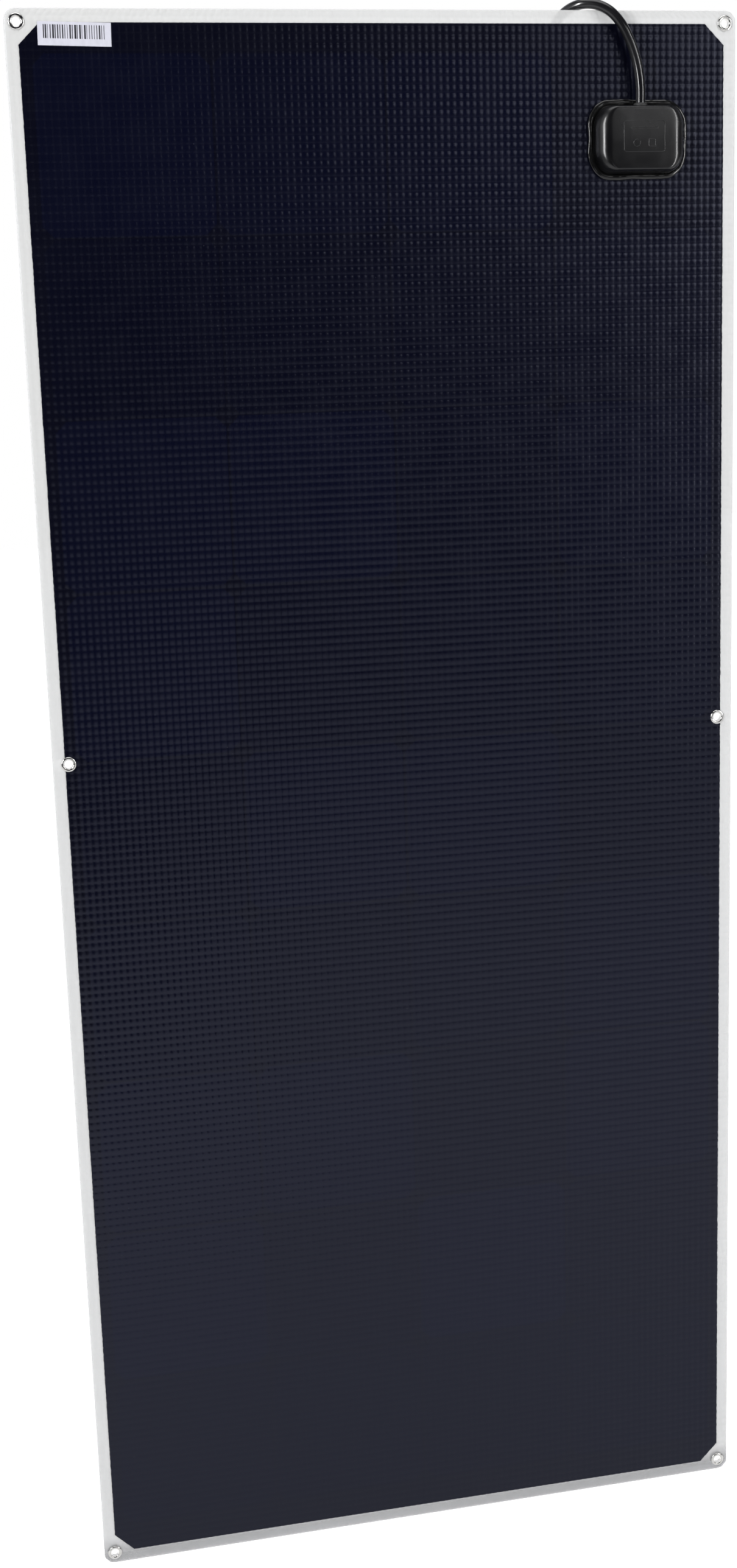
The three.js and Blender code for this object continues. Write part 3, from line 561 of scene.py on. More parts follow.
class Graph:
    """Adds nodes to a tree and joins them."""

    def __init__(self, tree: bpy.types.NodeTree) -> None:
        """Keeps the tree."""
        self.tree = tree

    def node(self, kind: str, inputs: dict | None = None, **settings) -> bpy.types.Node:
        """A new node with its settings, its inputs linked or set."""
        node = self.tree.nodes.new(kind)
        for name, value in settings.items():
            setattr(node, name, value)
        for name, value in (inputs or {}).items():
            self.feed(node.inputs[name], value)
        return node

    def feed(self, socket: Socket, value) -> None:
        """Links a socket to an output, or sets its own number or colour."""
        if isinstance(value, bpy.types.NodeSocket):
            self.tree.links.new(value, socket)
        elif socket.type == "RGBA":
            socket.default_value = (*value[:3], 1.0)
        else:
            socket.default_value = value

    def math(self, operation: str, first, second=0.0, third=0.0) -> Socket:
        """A sum, product, comparison or other operation on numbers."""
        return self.node("ShaderNodeMath", {0: first, 1: second, 2: third},
                         operation=operation).outputs[0]

    def mix(self, share, first, second) -> Socket:
        """A colour between two, by share."""
        node = self.node("ShaderNodeMix", data_type="RGBA")
        self.feed(node.inputs[0], share)
        self.feed(node.inputs[6], first)
        self.feed(node.inputs[7], second)
        return node.outputs[2]

    def ramp(self, value, low, high, start=0.0, end=1.0) -> Socket:
        """A number that goes smoothly from start to end as value goes from low to high."""
        inputs = {"Value": value, "From Min": low, "From Max": high, "To Min": start,
                  "To Max": end}
        node = self.node("ShaderNodeMapRange", inputs, interpolation_type="SMOOTHSTEP")
        return node.outputs["Result"]

    def noise(self, vector, scale, detail=3.0, roughness=0.55) -> Socket:
        """Soft noise from 0 to 1."""
        inputs = {"Vector": vector, "Scale": scale, "Detail": detail, "Roughness": roughness}
        return self.node("ShaderNodeTexNoise", inputs).outputs[0]

    def vector(self, x, y, z) -> Socket:
        """A vector from three numbers."""
        return self.node("ShaderNodeCombineXYZ", {0: x, 1: y, 2: z}).outputs[0]

    def split(self, vector) -> tuple[Socket, Socket, Socket]:
        """The three numbers of a vector."""
        outputs = self.node("ShaderNodeSeparateXYZ", {"Vector": vector}).outputs
        return outputs["X"], outputs["Y"], outputs["Z"]

    def object_place(self) -> Socket:
        """Object coordinates."""
        return self.node("ShaderNodeTexCoord").outputs["Object"]

    def bump(self, shader: bpy.types.Node, height: Socket, strength: float, depth: float) -> None:
        """Turns a height from 0 to 1 into the shader's normals."""
        inputs = {"Height": height, "Strength": strength, "Distance": depth}
        self.feed(shader.inputs["Normal"], self.node("ShaderNodeBump", inputs).outputs["Normal"])

    def effect(self, group: bpy.types.NodeTree, **inputs) -> bpy.types.Node:
        """Places a shared effect and feeds its named inputs."""
        node = self.tree.nodes.new("ShaderNodeGroup")
        node.node_tree = group
        for name, value in inputs.items():
            self.feed(node.inputs[name.replace("_", " ").title()], value)
        return node


def new_effect(name: str, inputs: dict, outputs: tuple) -> tuple[Graph, dict, bpy.types.Node]:
    """A shader node group with named sockets.

    Args:
        name: The group's name.
        inputs: Each input's name and its first value, or None for a vector.
        outputs: The names of its outputs, which are numbers.

    Returns:
        Its graph, its inputs as outputs of the entry node by name, and its exit node.
    """
    group = bpy.data.node_groups.new(name, "ShaderNodeTree")
    for title, value in inputs.items():
        kind = "NodeSocketVector" if value is None else "NodeSocketFloat"
        socket = group.interface.new_socket(title, in_out="INPUT", socket_type=kind)
        if value is not None:
            socket.default_value = value
    for title in outputs:
        group.interface.new_socket(title, in_out="OUTPUT", socket_type="NodeSocketFloat")
    graph = Graph(group)
    entry = graph.node("NodeGroupInput")
    exit_node = graph.node("NodeGroupOutput")
    return graph, {title: entry.outputs[title] for title in inputs}, exit_node


class Effects:
    """The effects that several finishes share, each made once."""

    def __init__(self) -> None:
        """Makes all the groups."""
        self.grain = self.make_grain()
        self.mottle = self.make_mottle()
        self.dust = self.make_dust()
        self.scuffs = self.make_scuffs()

    def make_grain(self) -> bpy.types.NodeTree:
        """Fine moulded texture: soft noise with small pits, as a height from 0 to 1."""
        graph, entry, leave = new_effect("grain", {"Vector": None, "Scale": 900.0}, ("Height",))
        soft = graph.noise(entry["Vector"], entry["Scale"], 2.0)
        finer = graph.math("MULTIPLY", entry["Scale"], 2.3)
        pits = graph.node("ShaderNodeTexVoronoi", {"Vector": entry["Vector"], "Scale": finer})
        both = graph.math("MULTIPLY_ADD", pits.outputs["Distance"], 0.4, soft)
        graph.feed(leave.inputs["Height"], both)
        return graph.tree

    def make_mottle(self) -> bpy.types.NodeTree:
        """Broad patches: a value between low and high, and their mask."""
        inputs = {"Vector": None, "Scale": 25.0, "Low": 0.3, "High": 0.5}
        graph, entry, leave = new_effect("mottle", inputs, ("Value", "Mask"))
        broad = graph.noise(entry["Vector"], entry["Scale"], 4.0)
        mask = graph.ramp(broad, 0.35, 0.65)
        graph.feed(leave.inputs["Value"], graph.ramp(broad, 0.3, 0.7, entry["Low"], entry["High"]))
        graph.feed(leave.inputs["Mask"], mask)
        return graph.tree

    def make_dust(self) -> bpy.types.NodeTree:
        """Sparse specks: few of the spots of a cell pattern, each with its own size."""
        inputs = {"Vector": None, "Scale": 60.0, "Share": 0.1, "Size": 0.05}
        graph, entry, leave = new_effect("dust", inputs, ("Mask",))
        spots = graph.node("ShaderNodeTexVoronoi", {"Vector": entry["Vector"],
                                                    "Scale": entry["Scale"]})
        chance, size, _ = graph.split(spots.outputs["Color"])
        chosen = graph.math("LESS_THAN", chance, entry["Share"])
        reach = graph.math("MULTIPLY", size, entry["Size"])
        near = graph.math("LESS_THAN", spots.outputs["Distance"], reach)
        graph.feed(leave.inputs["Mask"], graph.math("MULTIPLY", chosen, near))
        return graph.tree

    def make_scuffs(self) -> bpy.types.NodeTree:
        """Faint rubbed streaks along Z, as a mask from 0 to 1."""
        graph, entry, leave = new_effect("scuffs", {"Vector": None, "Scale": 90.0}, ("Mask",))
        stretched = graph.node("ShaderNodeVectorMath", {0: entry["Vector"], 1: (1.0, 1.0, 0.12)},
                               operation="MULTIPLY").outputs[0]
        streaks = graph.noise(stretched, entry["Scale"], 5.0, 0.7)
        graph.feed(leave.inputs["Mask"], graph.ramp(streaks, 0.58, 0.75))
        return graph.tree


EFFECTS = Effects()


def new_material(name: str) -> tuple[bpy.types.Material, Graph, bpy.types.Node]:
    """A material, its graph and its shader, joined to the output."""
    material = bpy.data.materials.new(name)
    material.use_nodes = True
    graph = Graph(material.node_tree)
    graph.tree.nodes.clear()
    shader = graph.node("ShaderNodeBsdfPrincipled")
    output = graph.node("ShaderNodeOutputMaterial")
    graph.tree.links.new(shader.outputs["BSDF"], output.inputs["Surface"])
    return material, graph, shader


@dataclass(frozen=True)
class Finish:
    """A surface with mottled gloss, fine grain, faint streaks and a little dust."""

    name: str
    colour: Colour
    second: Colour | None = None
    roughness: float = 0.4
    roughness_spread: float = 0.06
    metallic: float = 0.0
    ior: float = 1.5
    coat: float = 0.0
    patch: float = 25.0
    grain: float = 900.0
    grain_depth: float = 0.02
    grain_strength: float = 0.3
    streaks: float = 0.0
    dust: float = 0.0
    dust_scale: float = 420.0
    dust_size: float = 0.16
    dust_colour: Colour = (0.55, 0.55, 0.56)
    alpha: float = 1.0

    def worn(self) -> Colour:
        """The colour inside a streak: paler than the finish's own, and at most 1."""
        return tuple(min(1.0, part * 1.6 + 0.02) for part in self.colour)

    def material(self) -> bpy.types.Material:
        """Builds the finish as a material."""
        material, graph, shader = new_material(self.name)
        place = graph.object_place()
        low, high = self.roughness - self.roughness_spread, self.roughness + self.roughness_spread
        mottle = graph.effect(EFFECTS.mottle, vector=place, scale=self.patch, low=low, high=high)
        colour = graph.mix(mottle.outputs["Mask"], self.colour, self.second or self.colour)
        if self.streaks:
            scuffs = graph.effect(EFFECTS.scuffs, vector=place, scale=self.patch * 4)
            share = graph.math("MULTIPLY", scuffs.outputs["Mask"], self.streaks)
            colour = graph.mix(share, colour, self.worn())
        if self.dust:
            specks = graph.effect(EFFECTS.dust, vector=place, scale=self.dust_scale,
                                  share=self.dust, size=self.dust_size)
            colour = graph.mix(specks.outputs["Mask"], colour, self.dust_colour)
        graph.feed(shader.inputs["Base Color"], colour)
        graph.feed(shader.inputs["Roughness"], mottle.outputs["Value"])
        grain = graph.effect(EFFECTS.grain, vector=place, scale=self.grain)
        graph.bump(shader, grain.outputs["Height"], self.grain_strength, self.grain_depth * MM)
        shader.inputs["Metallic"].default_value = self.metallic
        shader.inputs["IOR"].default_value = self.ior
        shader.inputs["Coat Weight"].default_value = self.coat
        shader.inputs["Alpha"].default_value = self.alpha
        return material


FINISHES = {
    "box_plastic": Finish("box_plastic", (0.0025, 0.0025, 0.003), (0.004, 0.004, 0.0045),
                          roughness=0.25, grain=1500, grain_depth=0.03, streaks=0.25, dust=0.012),
    "sealant": Finish("sealant", (0.004, 0.004, 0.004), (0.006, 0.006, 0.006), roughness=0.14,
                      grain=300, grain_depth=0.06, dust=0.01),
    "lead_sheath": Finish("lead_sheath", (0.005, 0.005, 0.006), (0.009, 0.009, 0.010),
                          roughness=0.17, grain=700, grain_depth=0.012, streaks=0.15, dust=0.012),
    "core_red": Finish("core_red", (0.50, 0.02, 0.018), (0.42, 0.015, 0.014), roughness=0.35,
                       dust=0.01),
    "core_black": Finish("core_black", (0.012, 0.012, 0.012), (0.02, 0.02, 0.02), roughness=0.35),
    "rubber": Finish("rubber", (0.014, 0.014, 0.014), (0.022, 0.022, 0.022), roughness=0.62,
                     grain=1200, grain_depth=0.05),
    "nickel": Finish("nickel", (0.74, 0.73, 0.71), (0.66, 0.65, 0.62), roughness=0.16,
                     roughness_spread=0.07, metallic=1.0, patch=400, grain=1600,
                     grain_depth=0.006, streaks=0.2),
    "tinned": Finish("tinned", (0.60, 0.60, 0.60), (0.50, 0.50, 0.49), roughness=0.36,
                     metallic=1.0, patch=300, grain=900, grain_depth=0.02, streaks=0.3),
    "ribbon": Finish("ribbon", (0.55, 0.55, 0.56), (0.47, 0.47, 0.48), roughness=0.38,
                     metallic=1.0, patch=120, streaks=0.4),
    "copper": Finish("copper", (0.72, 0.40, 0.22), (0.55, 0.27, 0.15), roughness=0.33,
                     metallic=1.0, patch=200, streaks=0.3),
    "zinc": Finish("zinc", (0.52, 0.53, 0.55), (0.43, 0.43, 0.44), roughness=0.35, metallic=1.0,
                   patch=500, grain=1500, grain_depth=0.01),
    "diode": Finish("diode", (0.02, 0.02, 0.021), (0.03, 0.03, 0.03), roughness=0.45),
    "encapsulant": Finish("encapsulant", (0.88, 0.89, 0.90), (0.82, 0.84, 0.86), roughness=0.3,
                          patch=60, alpha=0.06),
    "cell": Finish("cell", (0.008, 0.012, 0.045), (0.006, 0.010, 0.032), roughness=0.3,
                   patch=40, grain=2500, grain_depth=0.01, coat=0.3),
    "rear_film": Finish("rear_film", (0.86, 0.87, 0.88), (0.80, 0.81, 0.82), roughness=0.32,
                        patch=30, grain=420, grain_depth=0.25, grain_strength=0.5, alpha=0.2,
                        dust=0.02),
}


@dataclass(frozen=True)
class FrontFilmFinish:
    """Glossy clear film: dark where cells and core lie behind it, milky in its border, with painted
    shade that turns the border grey towards the bottom edge.
    """

    core: Colour = (0.0018, 0.0020, 0.0060)
    gap: Colour = (0.0016, 0.0018, 0.0056)
    cell_dark: Colour = (0.0014, 0.0017, 0.0064)
    cell_blue: Colour = (0.0016, 0.0021, 0.0088)
    border: Colour = (0.76, 0.76, 0.75)
    # painted shade: the border's grey at the bottom edge, standing in for shade
    border_painted_shade: Colour = (0.34, 0.34, 0.34)
    border_alpha: float = 0.5
    roughness: float = 0.22
    ior: float = 1.40
    sheen: Colour = (0.74, 0.78, 1.0)
    empty_column: int = 3
    wobble: float = 0.7 * MM
    wobble_scale: float = 330.0
    cloud_scale: float = 5.0
    # heights over which the painted shade at the bottom edge fades in
    painted_shade_band: tuple[float, float] = (-1.17, -1.19)
    speck: Colour = (0.30, 0.31, 0.33)
    speck_scale: float = 260.0
    speck_share: float = 0.045
    speck_size: float = 0.08
    gloss_scale: float = 45.0
    grain_scale: float = 650.0
    grain_strength: float = 0.35
    grain_depth: float = 0.03 * MM

    def inside(self, graph: Graph, x: Socket, z: Socket, half_across: float, half_along: float,
               corner: float) -> Socket:
        """A mask of a rectangle about the centre with cut corners.

        It is 1 where the distance across, the distance along and their sum are all small.
        """
        across, along = graph.math("ABSOLUTE", x), graph.math("ABSOLUTE", z)
        together = graph.math("ADD", across, along)
        within = graph.math("LESS_THAN", across, half_across)
        within = graph.math("MULTIPLY", within, graph.math("LESS_THAN", along, half_along))
        diagonal = graph.math("LESS_THAN", together, half_across + half_along - corner)
        return graph.math("MULTIPLY", within, diagonal)

    def cells(self, graph: Graph, x: Socket, z: Socket) -> tuple[Socket, Socket]:
        """A mask of the cells, and a random number for each of them.

        The first row has no cell from the empty column on.
        """
        pitch = LAYOUT.cell_pitch
        column = graph.math("DIVIDE", graph.math("ADD", x, LAYOUT.columns * pitch / 2), pitch)
        row = graph.math("DIVIDE", graph.math("SUBTRACT", LAYOUT.field_top, z), pitch)
        near_x = graph.math("MULTIPLY", graph.math("SUBTRACT", graph.math("FRACT", column), 0.5),
                            pitch)
        near_z = graph.math("MULTIPLY", graph.math("SUBTRACT", graph.math("FRACT", row), 0.5),
                            pitch)
        half = LAYOUT.cell_size / 2
        mask = self.inside(graph, near_x, near_z, half, half, LAYOUT.cell_corner)
        number = graph.vector(graph.math("FLOOR", column), graph.math("FLOOR", row), 0.5)
        column_ok = graph.math("COMPARE", column, LAYOUT.columns / 2, LAYOUT.columns / 2)
        row_ok = graph.math("COMPARE", row, LAYOUT.rows / 2, LAYOUT.rows / 2)
        right = graph.math("GREATER_THAN", column, float(self.empty_column))
        empty = graph.math("MULTIPLY", right, graph.math("LESS_THAN", row, 1.0))
        mask = graph.math("MULTIPLY", graph.math("MULTIPLY", mask, column_ok), row_ok)
        mask = graph.math("MULTIPLY", mask, graph.math("SUBTRACT", 1.0, empty))
        chance = graph.node("ShaderNodeTexWhiteNoise", {"Vector": number}).outputs["Value"]
        return mask, chance

    def material(self) -> bpy.types.Material:
        """Builds the finish. The layout is read from the film's own rest position."""
        material, graph, shader = new_material("front_film")
        place = graph.node("ShaderNodeAttribute", attribute_name="rest").outputs["Vector"]
        x, _, z = graph.split(place)
        low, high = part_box("core_sheet_lower")[0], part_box("core_sheet_upper")[1]
        middle, half_along = (low.z + high.z) / 2, (high.z - low.z) / 2
        wobble = graph.math("MULTIPLY", graph.noise(place, self.wobble_scale, 1.0), self.wobble)
        field_mask = self.inside(graph, graph.math("ADD", graph.math("ABSOLUTE", x), wobble),
                                 graph.math("SUBTRACT", z, middle), high.x, half_along,
                                 LAYOUT.core_corner)
        mask, chance = self.cells(graph, x, z)
        broad = graph.noise(place, self.cloud_scale, 2.0)
        tint = graph.ramp(graph.math("MULTIPLY_ADD", broad, 0.5, chance), 0.35, 1.3)
        cell = graph.mix(tint, self.cell_dark, self.cell_blue)
        outside = graph.mix(graph.ramp(broad, 0.3, 0.7), self.core, self.gap)
        dark = graph.mix(mask, outside, cell)
        # painted shade: the milky border turns grey towards the bottom edge
        border = graph.mix(graph.ramp(z, *self.painted_shade_band), self.border, self.border_painted_shade)
        colour = graph.mix(field_mask, border, dark)
        specks = graph.effect(EFFECTS.dust, vector=place, scale=self.speck_scale,
                              share=self.speck_share, size=self.speck_size)
        graph.feed(shader.inputs["Base Color"],
                   graph.mix(specks.outputs["Mask"], colour, self.speck))
        solid = graph.ramp(field_mask, 0.0, 1.0, self.border_alpha, 1.0)
        graph.feed(shader.inputs["Alpha"], solid)
        gloss = graph.effect(EFFECTS.mottle, vector=place, scale=self.gloss_scale,
                             low=self.roughness - 0.02, high=self.roughness + 0.03)
        graph.feed(shader.inputs["Roughness"], gloss.outputs["Value"])
        grain = graph.effect(EFFECTS.grain, vector=place, scale=self.grain_scale)
        graph.bump(shader, grain.outputs["Height"], self.grain_strength, self.grain_depth)
        shader.inputs["IOR"].default_value = self.ior
        shader.inputs["Specular Tint"].default_value = (*self.sheen, 1.0)
        return material


@dataclass(frozen=True)
class CoreSheetFinish:
    """Black glass-fibre sheet: a plain weave under resin."""

    thread: float = 1.1 * MM
    dark: Colour = (0.010, 0.011, 0.013)
    light: Colour = (0.022, 0.023, 0.026)
    patch: float = 9.0
    smoothest: float = 0.26
    roughest: float = 0.4
    bump_strength: float = 0.5
    bump_depth: float = 0.04 * MM

    def material(self) -> bpy.types.Material:
        """Builds the weave from two waves whose product rises and falls over each crossing."""
        material, graph, shader = new_material("core_sheet")
        place = graph.object_place()
        x, _, z = graph.split(place)
        waves = [graph.math("SINE", graph.math("MULTIPLY", part, math.pi / self.thread))
                 for part in (x, z)]
        weave = graph.math("MULTIPLY", *waves)
        cloud = graph.effect(EFFECTS.mottle, vector=place, scale=self.patch, low=self.smoothest,
                             high=self.roughest)
        level = graph.math("MULTIPLY_ADD", weave, 0.25, cloud.outputs["Mask"])
        graph.feed(shader.inputs["Base Color"], graph.mix(level, self.dark, self.light))
        graph.feed(shader.inputs["Roughness"], cloud.outputs["Value"])
        graph.bump(shader, weave, self.bump_strength, self.bump_depth)
        return material


@dataclass(frozen=True)
class LabelFinish:
    """White coated paper with plain dark bars and no lettering."""

    paper: Colour = (0.56, 0.56, 0.63)
    ink: Colour = (0.010, 0.010, 0.016)
    bars: int = 30
    bar_left: float = 0.075
    bar_right: float = 0.93
    bar_bottom: float = 0.30
    bar_top: float = 0.88
    thinnest: float = 0.22
    extra_width: float = 0.6
    fibre: float = 220.0
    smoothest: float = 0.4
    roughest: float = 0.55
    shade: float = 0.94

    def between(self, graph: Graph, value: Socket, low: float, high: float) -> Socket:
        """A mask that is 1 between two values."""
        return graph.math("COMPARE", value, (low + high) / 2, (high - low) / 2)

    def material(self) -> bpy.types.Material:
        """Builds the finish on the label's own map, whose numbers run from 0 to 1."""
        material, graph, shader = new_material("label")
        spot = graph.node("ShaderNodeUVMap", uv_map="label").outputs["UV"]
        across, up, _ = graph.split(spot)
        step = graph.math("MULTIPLY", across, float(self.bars))
        chance = graph.node("ShaderNodeTexWhiteNoise", {"W": graph.math("FLOOR", step)},
                            noise_dimensions="1D").outputs["Value"]
        width = graph.math("MULTIPLY_ADD", graph.math("POWER", chance, 2.0), self.extra_width,
                           self.thinnest)
        dark = graph.math("LESS_THAN", graph.math("FRACT", step), width)
        for value, low, high in ((across, self.bar_left, self.bar_right),
                                 (up, self.bar_bottom, self.bar_top)):
            dark = graph.math("MULTIPLY", dark, self.between(graph, value, low, high))
        fibre = graph.effect(EFFECTS.mottle, vector=graph.object_place(), scale=self.fibre,
                             low=self.smoothest, high=self.roughest)
        shaded = tuple(part * self.shade for part in self.paper)
        paper = graph.mix(fibre.outputs["Mask"], self.paper, shaded)
        graph.feed(shader.inputs["Base Color"], graph.mix(dark, paper, self.ink))
        graph.feed(shader.inputs["Roughness"], fibre.outputs["Value"])
        return material


# Sub-assemblies


@dataclass
class Lead:
    """The two-core lead: sheath, free cores and ferrules. It hangs from the junction box."""

    radius: float = 3.7 * MM
    wave: float = 0.05 * MM
    lay_length: float = 70 * MM
    core_radius: float = 1.55 * MM
    core_spread: float = 1.8 * MM
    far_spread: float = 2.2
    core_straight: float = 0.15
    free_core: float = 42 * MM
    sides: int = 32
    core_sides: int = 20
    route_steps: int = 16
    core_steps: int = 12
    end_taper: float = 0.35 * MM
    core_taper: float = 0.15 * MM
    core_overlap: float = 0.6 * MM
    pin_overlap: float = 0.3 * MM
    length: float = 0.9
    route: tuple = (
        (0, -10.84, -76), (0, -10.84, -67), (0, -10.84, -58), (0, -10.84, -46),
        (-1.4, -10.8, -34.1), (-4.4, -10.8, -22.2), (-8.8, -10.6, -11.2), (-14.8, -10.1, -0.8),
        (-23.2, -8.3, 8), (-33.3, -4.2, 13), (-43.5, 2.2, 13.3), (-51.8, 10.4, 9),
        (-57.8, 19.8, -0.6), (-60.6, 25, -7.7), (-63.6, 32.7, -17.1), (-63.9, 39.8, -28.4),
        (-64.9, 43, -45), (-65.7, 43.4, -66), (-67.3, 42.6, -100), (-70.1, 41.4, -150),
        (-73.7, 40.2, -212), (-77.5, 39.4, -280), (-80.7, 38.8, -352), (-82.9, 38.4, -426),
        (-83.9, 38.2, -502), (-83.9, 38.2, -578), (-83.1, 38.4, -654), (-82.5, 38.6, -768),
    )

    def sheath(self) -> tuple[Object, np.ndarray]:
        """The sheath. Its radius swells and dips a little as the two cores turn inside it.

        The route's points are measured to the right of the box's middle, then in Y and Z.
        """
        low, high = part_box("box_cover")
        middle = np.array([(low.x + high.x) / 2, 0, 0])
        path = smooth_route(np.array(self.route) * MM + middle, self.route_steps)
        angle = round_steps(self.sides)
        turn = 2 * np.pi * run_along(path)[:, None] / self.lay_length
        radius = self.radius + self.wave * (np.cos(2 * angle - turn) - 1)
        radius[-1] -= self.end_taper
        rings = rings_along(path, radius, self.sides, (0.5, 0.86, 0.0))
        return tube("lead_outer", rings), path

    def core(self, name: str, side: int, end: np.ndarray) -> tuple[Object, np.ndarray]:
        """One insulated core that leaves the sheath's end and spreads to its side."""
        spread = side * self.core_spread
        near = end + np.array([spread, 0, self.core_overlap])
        far = end + np.array([spread * self.far_spread, 0, -self.free_core - self.pin_overlap])
        drop = np.array([0, 0, self.free_core * self.core_straight])
        places = np.array([near, near - drop, (near + far) / 2, far + drop, far])
        path = smooth_route(places, self.core_steps)
        radius = np.full((len(path), self.core_sides), self.core_radius)
        radius[-1] -= self.core_taper
        return tube(name, rings_along(path, radius, self.core_sides, (0, 1, 0))), far

    def ferrule(self, name: str, top: np.ndarray) -> Object:
        """A crimped ferrule: a flared collar and a pin pressed to a rounded square.

        The pin's radius dips with the cosine of four times the angle, and in rings along it.
        """
        heights = np.array([0, 0.1, 0.4, 3.9, 4.2, 5.9, 6.2, 7.0, *np.arange(7.5, 15, 0.5),
                            15.6, 15.9]) * MM
        radii = np.array([1.7, 1.95, 2, 2, 1.9, 1.25, 1.15, 1.15, *([1.15] * 15), 1.05, 0.8]) * MM
        angle = round_steps(self.sides)
        pressed = ((heights > 7 * MM) & (heights < 15 * MM))[:, None]
        ripple = np.cos(np.arange(len(heights)) * np.pi)[:, None]
        radius = radii[:, None] + pressed * MM * (0.07 * np.cos(4 * angle) + 0.03 * ripple)
        drop = self.pin_overlap + heights[:, None]
        path = top - drop * np.array([0, 0, 1])
        return tube(name, rings_along(path, radius, self.sides, (0, 1, 0)))

    def build(self) -> None:
        sheath, path = self.sheath()
        settle(sheath, Place.UPPER, "lead_sheath", FINISHES["lead_sheath"].material(),
               "lead_sheath")
        pieces = []
        tin = FINISHES["tinned"].material()
        for sign, side, slot in (("positive", -1, "core_red"), ("negative", 1, "core_black")):
            core, far = self.core(f"{sign}_free_core", side, path[-1])
            settle(core, Place.UPPER, slot, FINISHES[slot].material(), f"{sign}_core")
            ferrule = self.ferrule(f"{sign}_pin", far)
            settle(ferrule, Place.UPPER, "ferrule", tin, f"{sign}_ferrule")
            pieces += [core, ferrule]


@dataclass
class Laminate:
    """The bonded layers: embossed front film, encapsulants, cell strings, core and rear film."""

    pad_columns: int = 107
    pad_rows: int = 208
    film_parts: tuple = (("front_film_top", 0, 70, Place.UPPER),
                         ("front_film_middle", 70, 139, Place.BENDS),
                         ("front_film_bottom", 139, 208, Place.LOWER))
    column_groove: float = 0.22
    row_groove: float = 0.16
    row_depth: float = 0.85
    relief: float = 0.33 * MM
    hole_radius: float = 4.1 * MM
    corner_radius: float = 8 * MM
    bend_cuts: int = 24
    lowest_pad: float = 0.86
    seam_reach: float = 0.01 * MM
    weld: float = 0.001 * MM
    flex_reach: float = 0.6 * MM
    flex_weld: float = 0.01 * MM
    cutter_length: float = 20 * MM

    def lines(self, first: int, last: int, groove: float) -> tuple[np.ndarray, np.ndarray]:
        """Lines across pads first to last, in pads, and whether each is on a raised shoulder."""
        offsets = np.array([0, groove, 1 - groove])
        places = (np.arange(first, last)[:, None] + offsets).ravel()
        raised = np.tile([0.0, 1.0, 1.0], last - first)
        return np.append(places, last), np.append(raised, 0.0)

    def film_box(self) -> tuple[Vector, Vector]:
        """The lowest and the highest corner of the whole front film."""
        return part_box("front_film_lower")[0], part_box("front_film_upper")[1]

    def film_part(self, name: str, first: int, last: int) -> Object:
        """A closed slab whose front is a grid of raised square pads.

        A point's level is the film's front less the relief, plus the relief where both its
        lines are shoulders, times a height that varies a little from pad to pad. The grooves
        between rows are narrower, and only part as deep. Each row's width follows the sheet's
        rounded corners.
        """
        low, high = self.film_box()
        front, back = low.y, high.y
        across, wide = self.lines(0, self.pad_columns, self.column_groove)
        down, tall = self.lines(first, last, self.row_groove)
        z = high.z + (low.z - high.z) * down / self.pad_rows
        near_end = np.clip(self.corner_radius - np.minimum(high.z - z, z - low.z), 0, None)
        round_off = self.corner_radius - np.sqrt(self.corner_radius**2 - near_end**2)
        x = (2 * across / self.pad_columns - 1) * (high.x - round_off[:, None])
        random = np.random.default_rng(SEED + first)
        pad = random.random((last - first + 1, self.pad_columns + 1))
        pad = self.lowest_pad + (1 - self.lowest_pad) * pad
        pad = pad[np.ix_(np.floor(down).astype(int) - first, np.floor(across).astype(int))]
        tall = 1 - self.row_depth * (1 - tall)
        height = self.relief * tall[:, None] * wide[None, :] * pad
        y = front + self.relief - height
        z = np.broadcast_to(z[:, None], x.shape)
        face = np.stack([x, y, z], axis=-1)
        rows, columns = x.shape
        rear = np.stack([x[:, [0, -1]], np.full((rows, 2), back), z[:, [0, -1]]], axis=-1)
        points = np.concatenate([face.reshape(-1, 3), rear.reshape(-1, 3)])
        return piece_from(name, points, self.film_faces(rows, columns), smooth_below=50)

    def film_faces(self, rows: int, columns: int) -> list:
        """Quads of the front grid, the narrow sides, the flat rear and the two ends."""
        faces = grid_faces(rows, columns).tolist()
        start = rows * columns
        row = np.arange(rows - 1)
        left, right = row * columns, row * columns + columns - 1
        rear_left, rear_right = start + 2 * row, start + 2 * row + 1
        faces += np.stack([left, left + columns, rear_left + 2, rear_left], axis=-1).tolist()
        faces += np.stack([right, rear_right, rear_right + 2, right + columns], axis=-1).tolist()
        faces += np.stack([rear_left, rear_left + 2, rear_right + 2, rear_right],
                          axis=-1).tolist()
        last = (rows - 1) * columns
        rear_last = start + 2 * (rows - 1)
        faces.append([*range(columns), start + 1, start])
        faces.append([*range(last, last + columns), rear_last + 1, rear_last])
        return faces

    def eyelet_cutters(self, top: float, bottom: float) -> list[Object]:
        """Round cutters for the eyelets whose centres lie between two heights."""
        cutters = []
        for node in (n for n in frame["nodes"] if n.startswith("eyelet_washer")):
            low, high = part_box(node)
            centre = (low + high) / 2
            if bottom < centre.z < top:
                place = (centre.x, centre.y, centre.z)
                cutters.append(rod(f"cut_{node}", place, self.hole_radius,
                                   self.cutter_length, "Y"))
        return cutters

    def build_film(self) -> None:
        """Makes the front film in three parts, each with its holes and its rest position."""
        material = FrontFilmFinish().material()
        for name, first, last, place in self.film_parts:
            piece = self.film_part(name, first, last)
            corners = np.array([corner[:] for corner in piece.bound_box])
            cutters = self.eyelet_cutters(corners[:, 2].max(), corners[:, 2].min())
            if cutters:
                cut_away(piece, cutters)
            self.keep_rest(piece)
            self.level_seams(piece)
            half = "lower" if place is Place.LOWER else "upper"
            settle(piece, place, "clear_film", material, f"front_film_{half}")

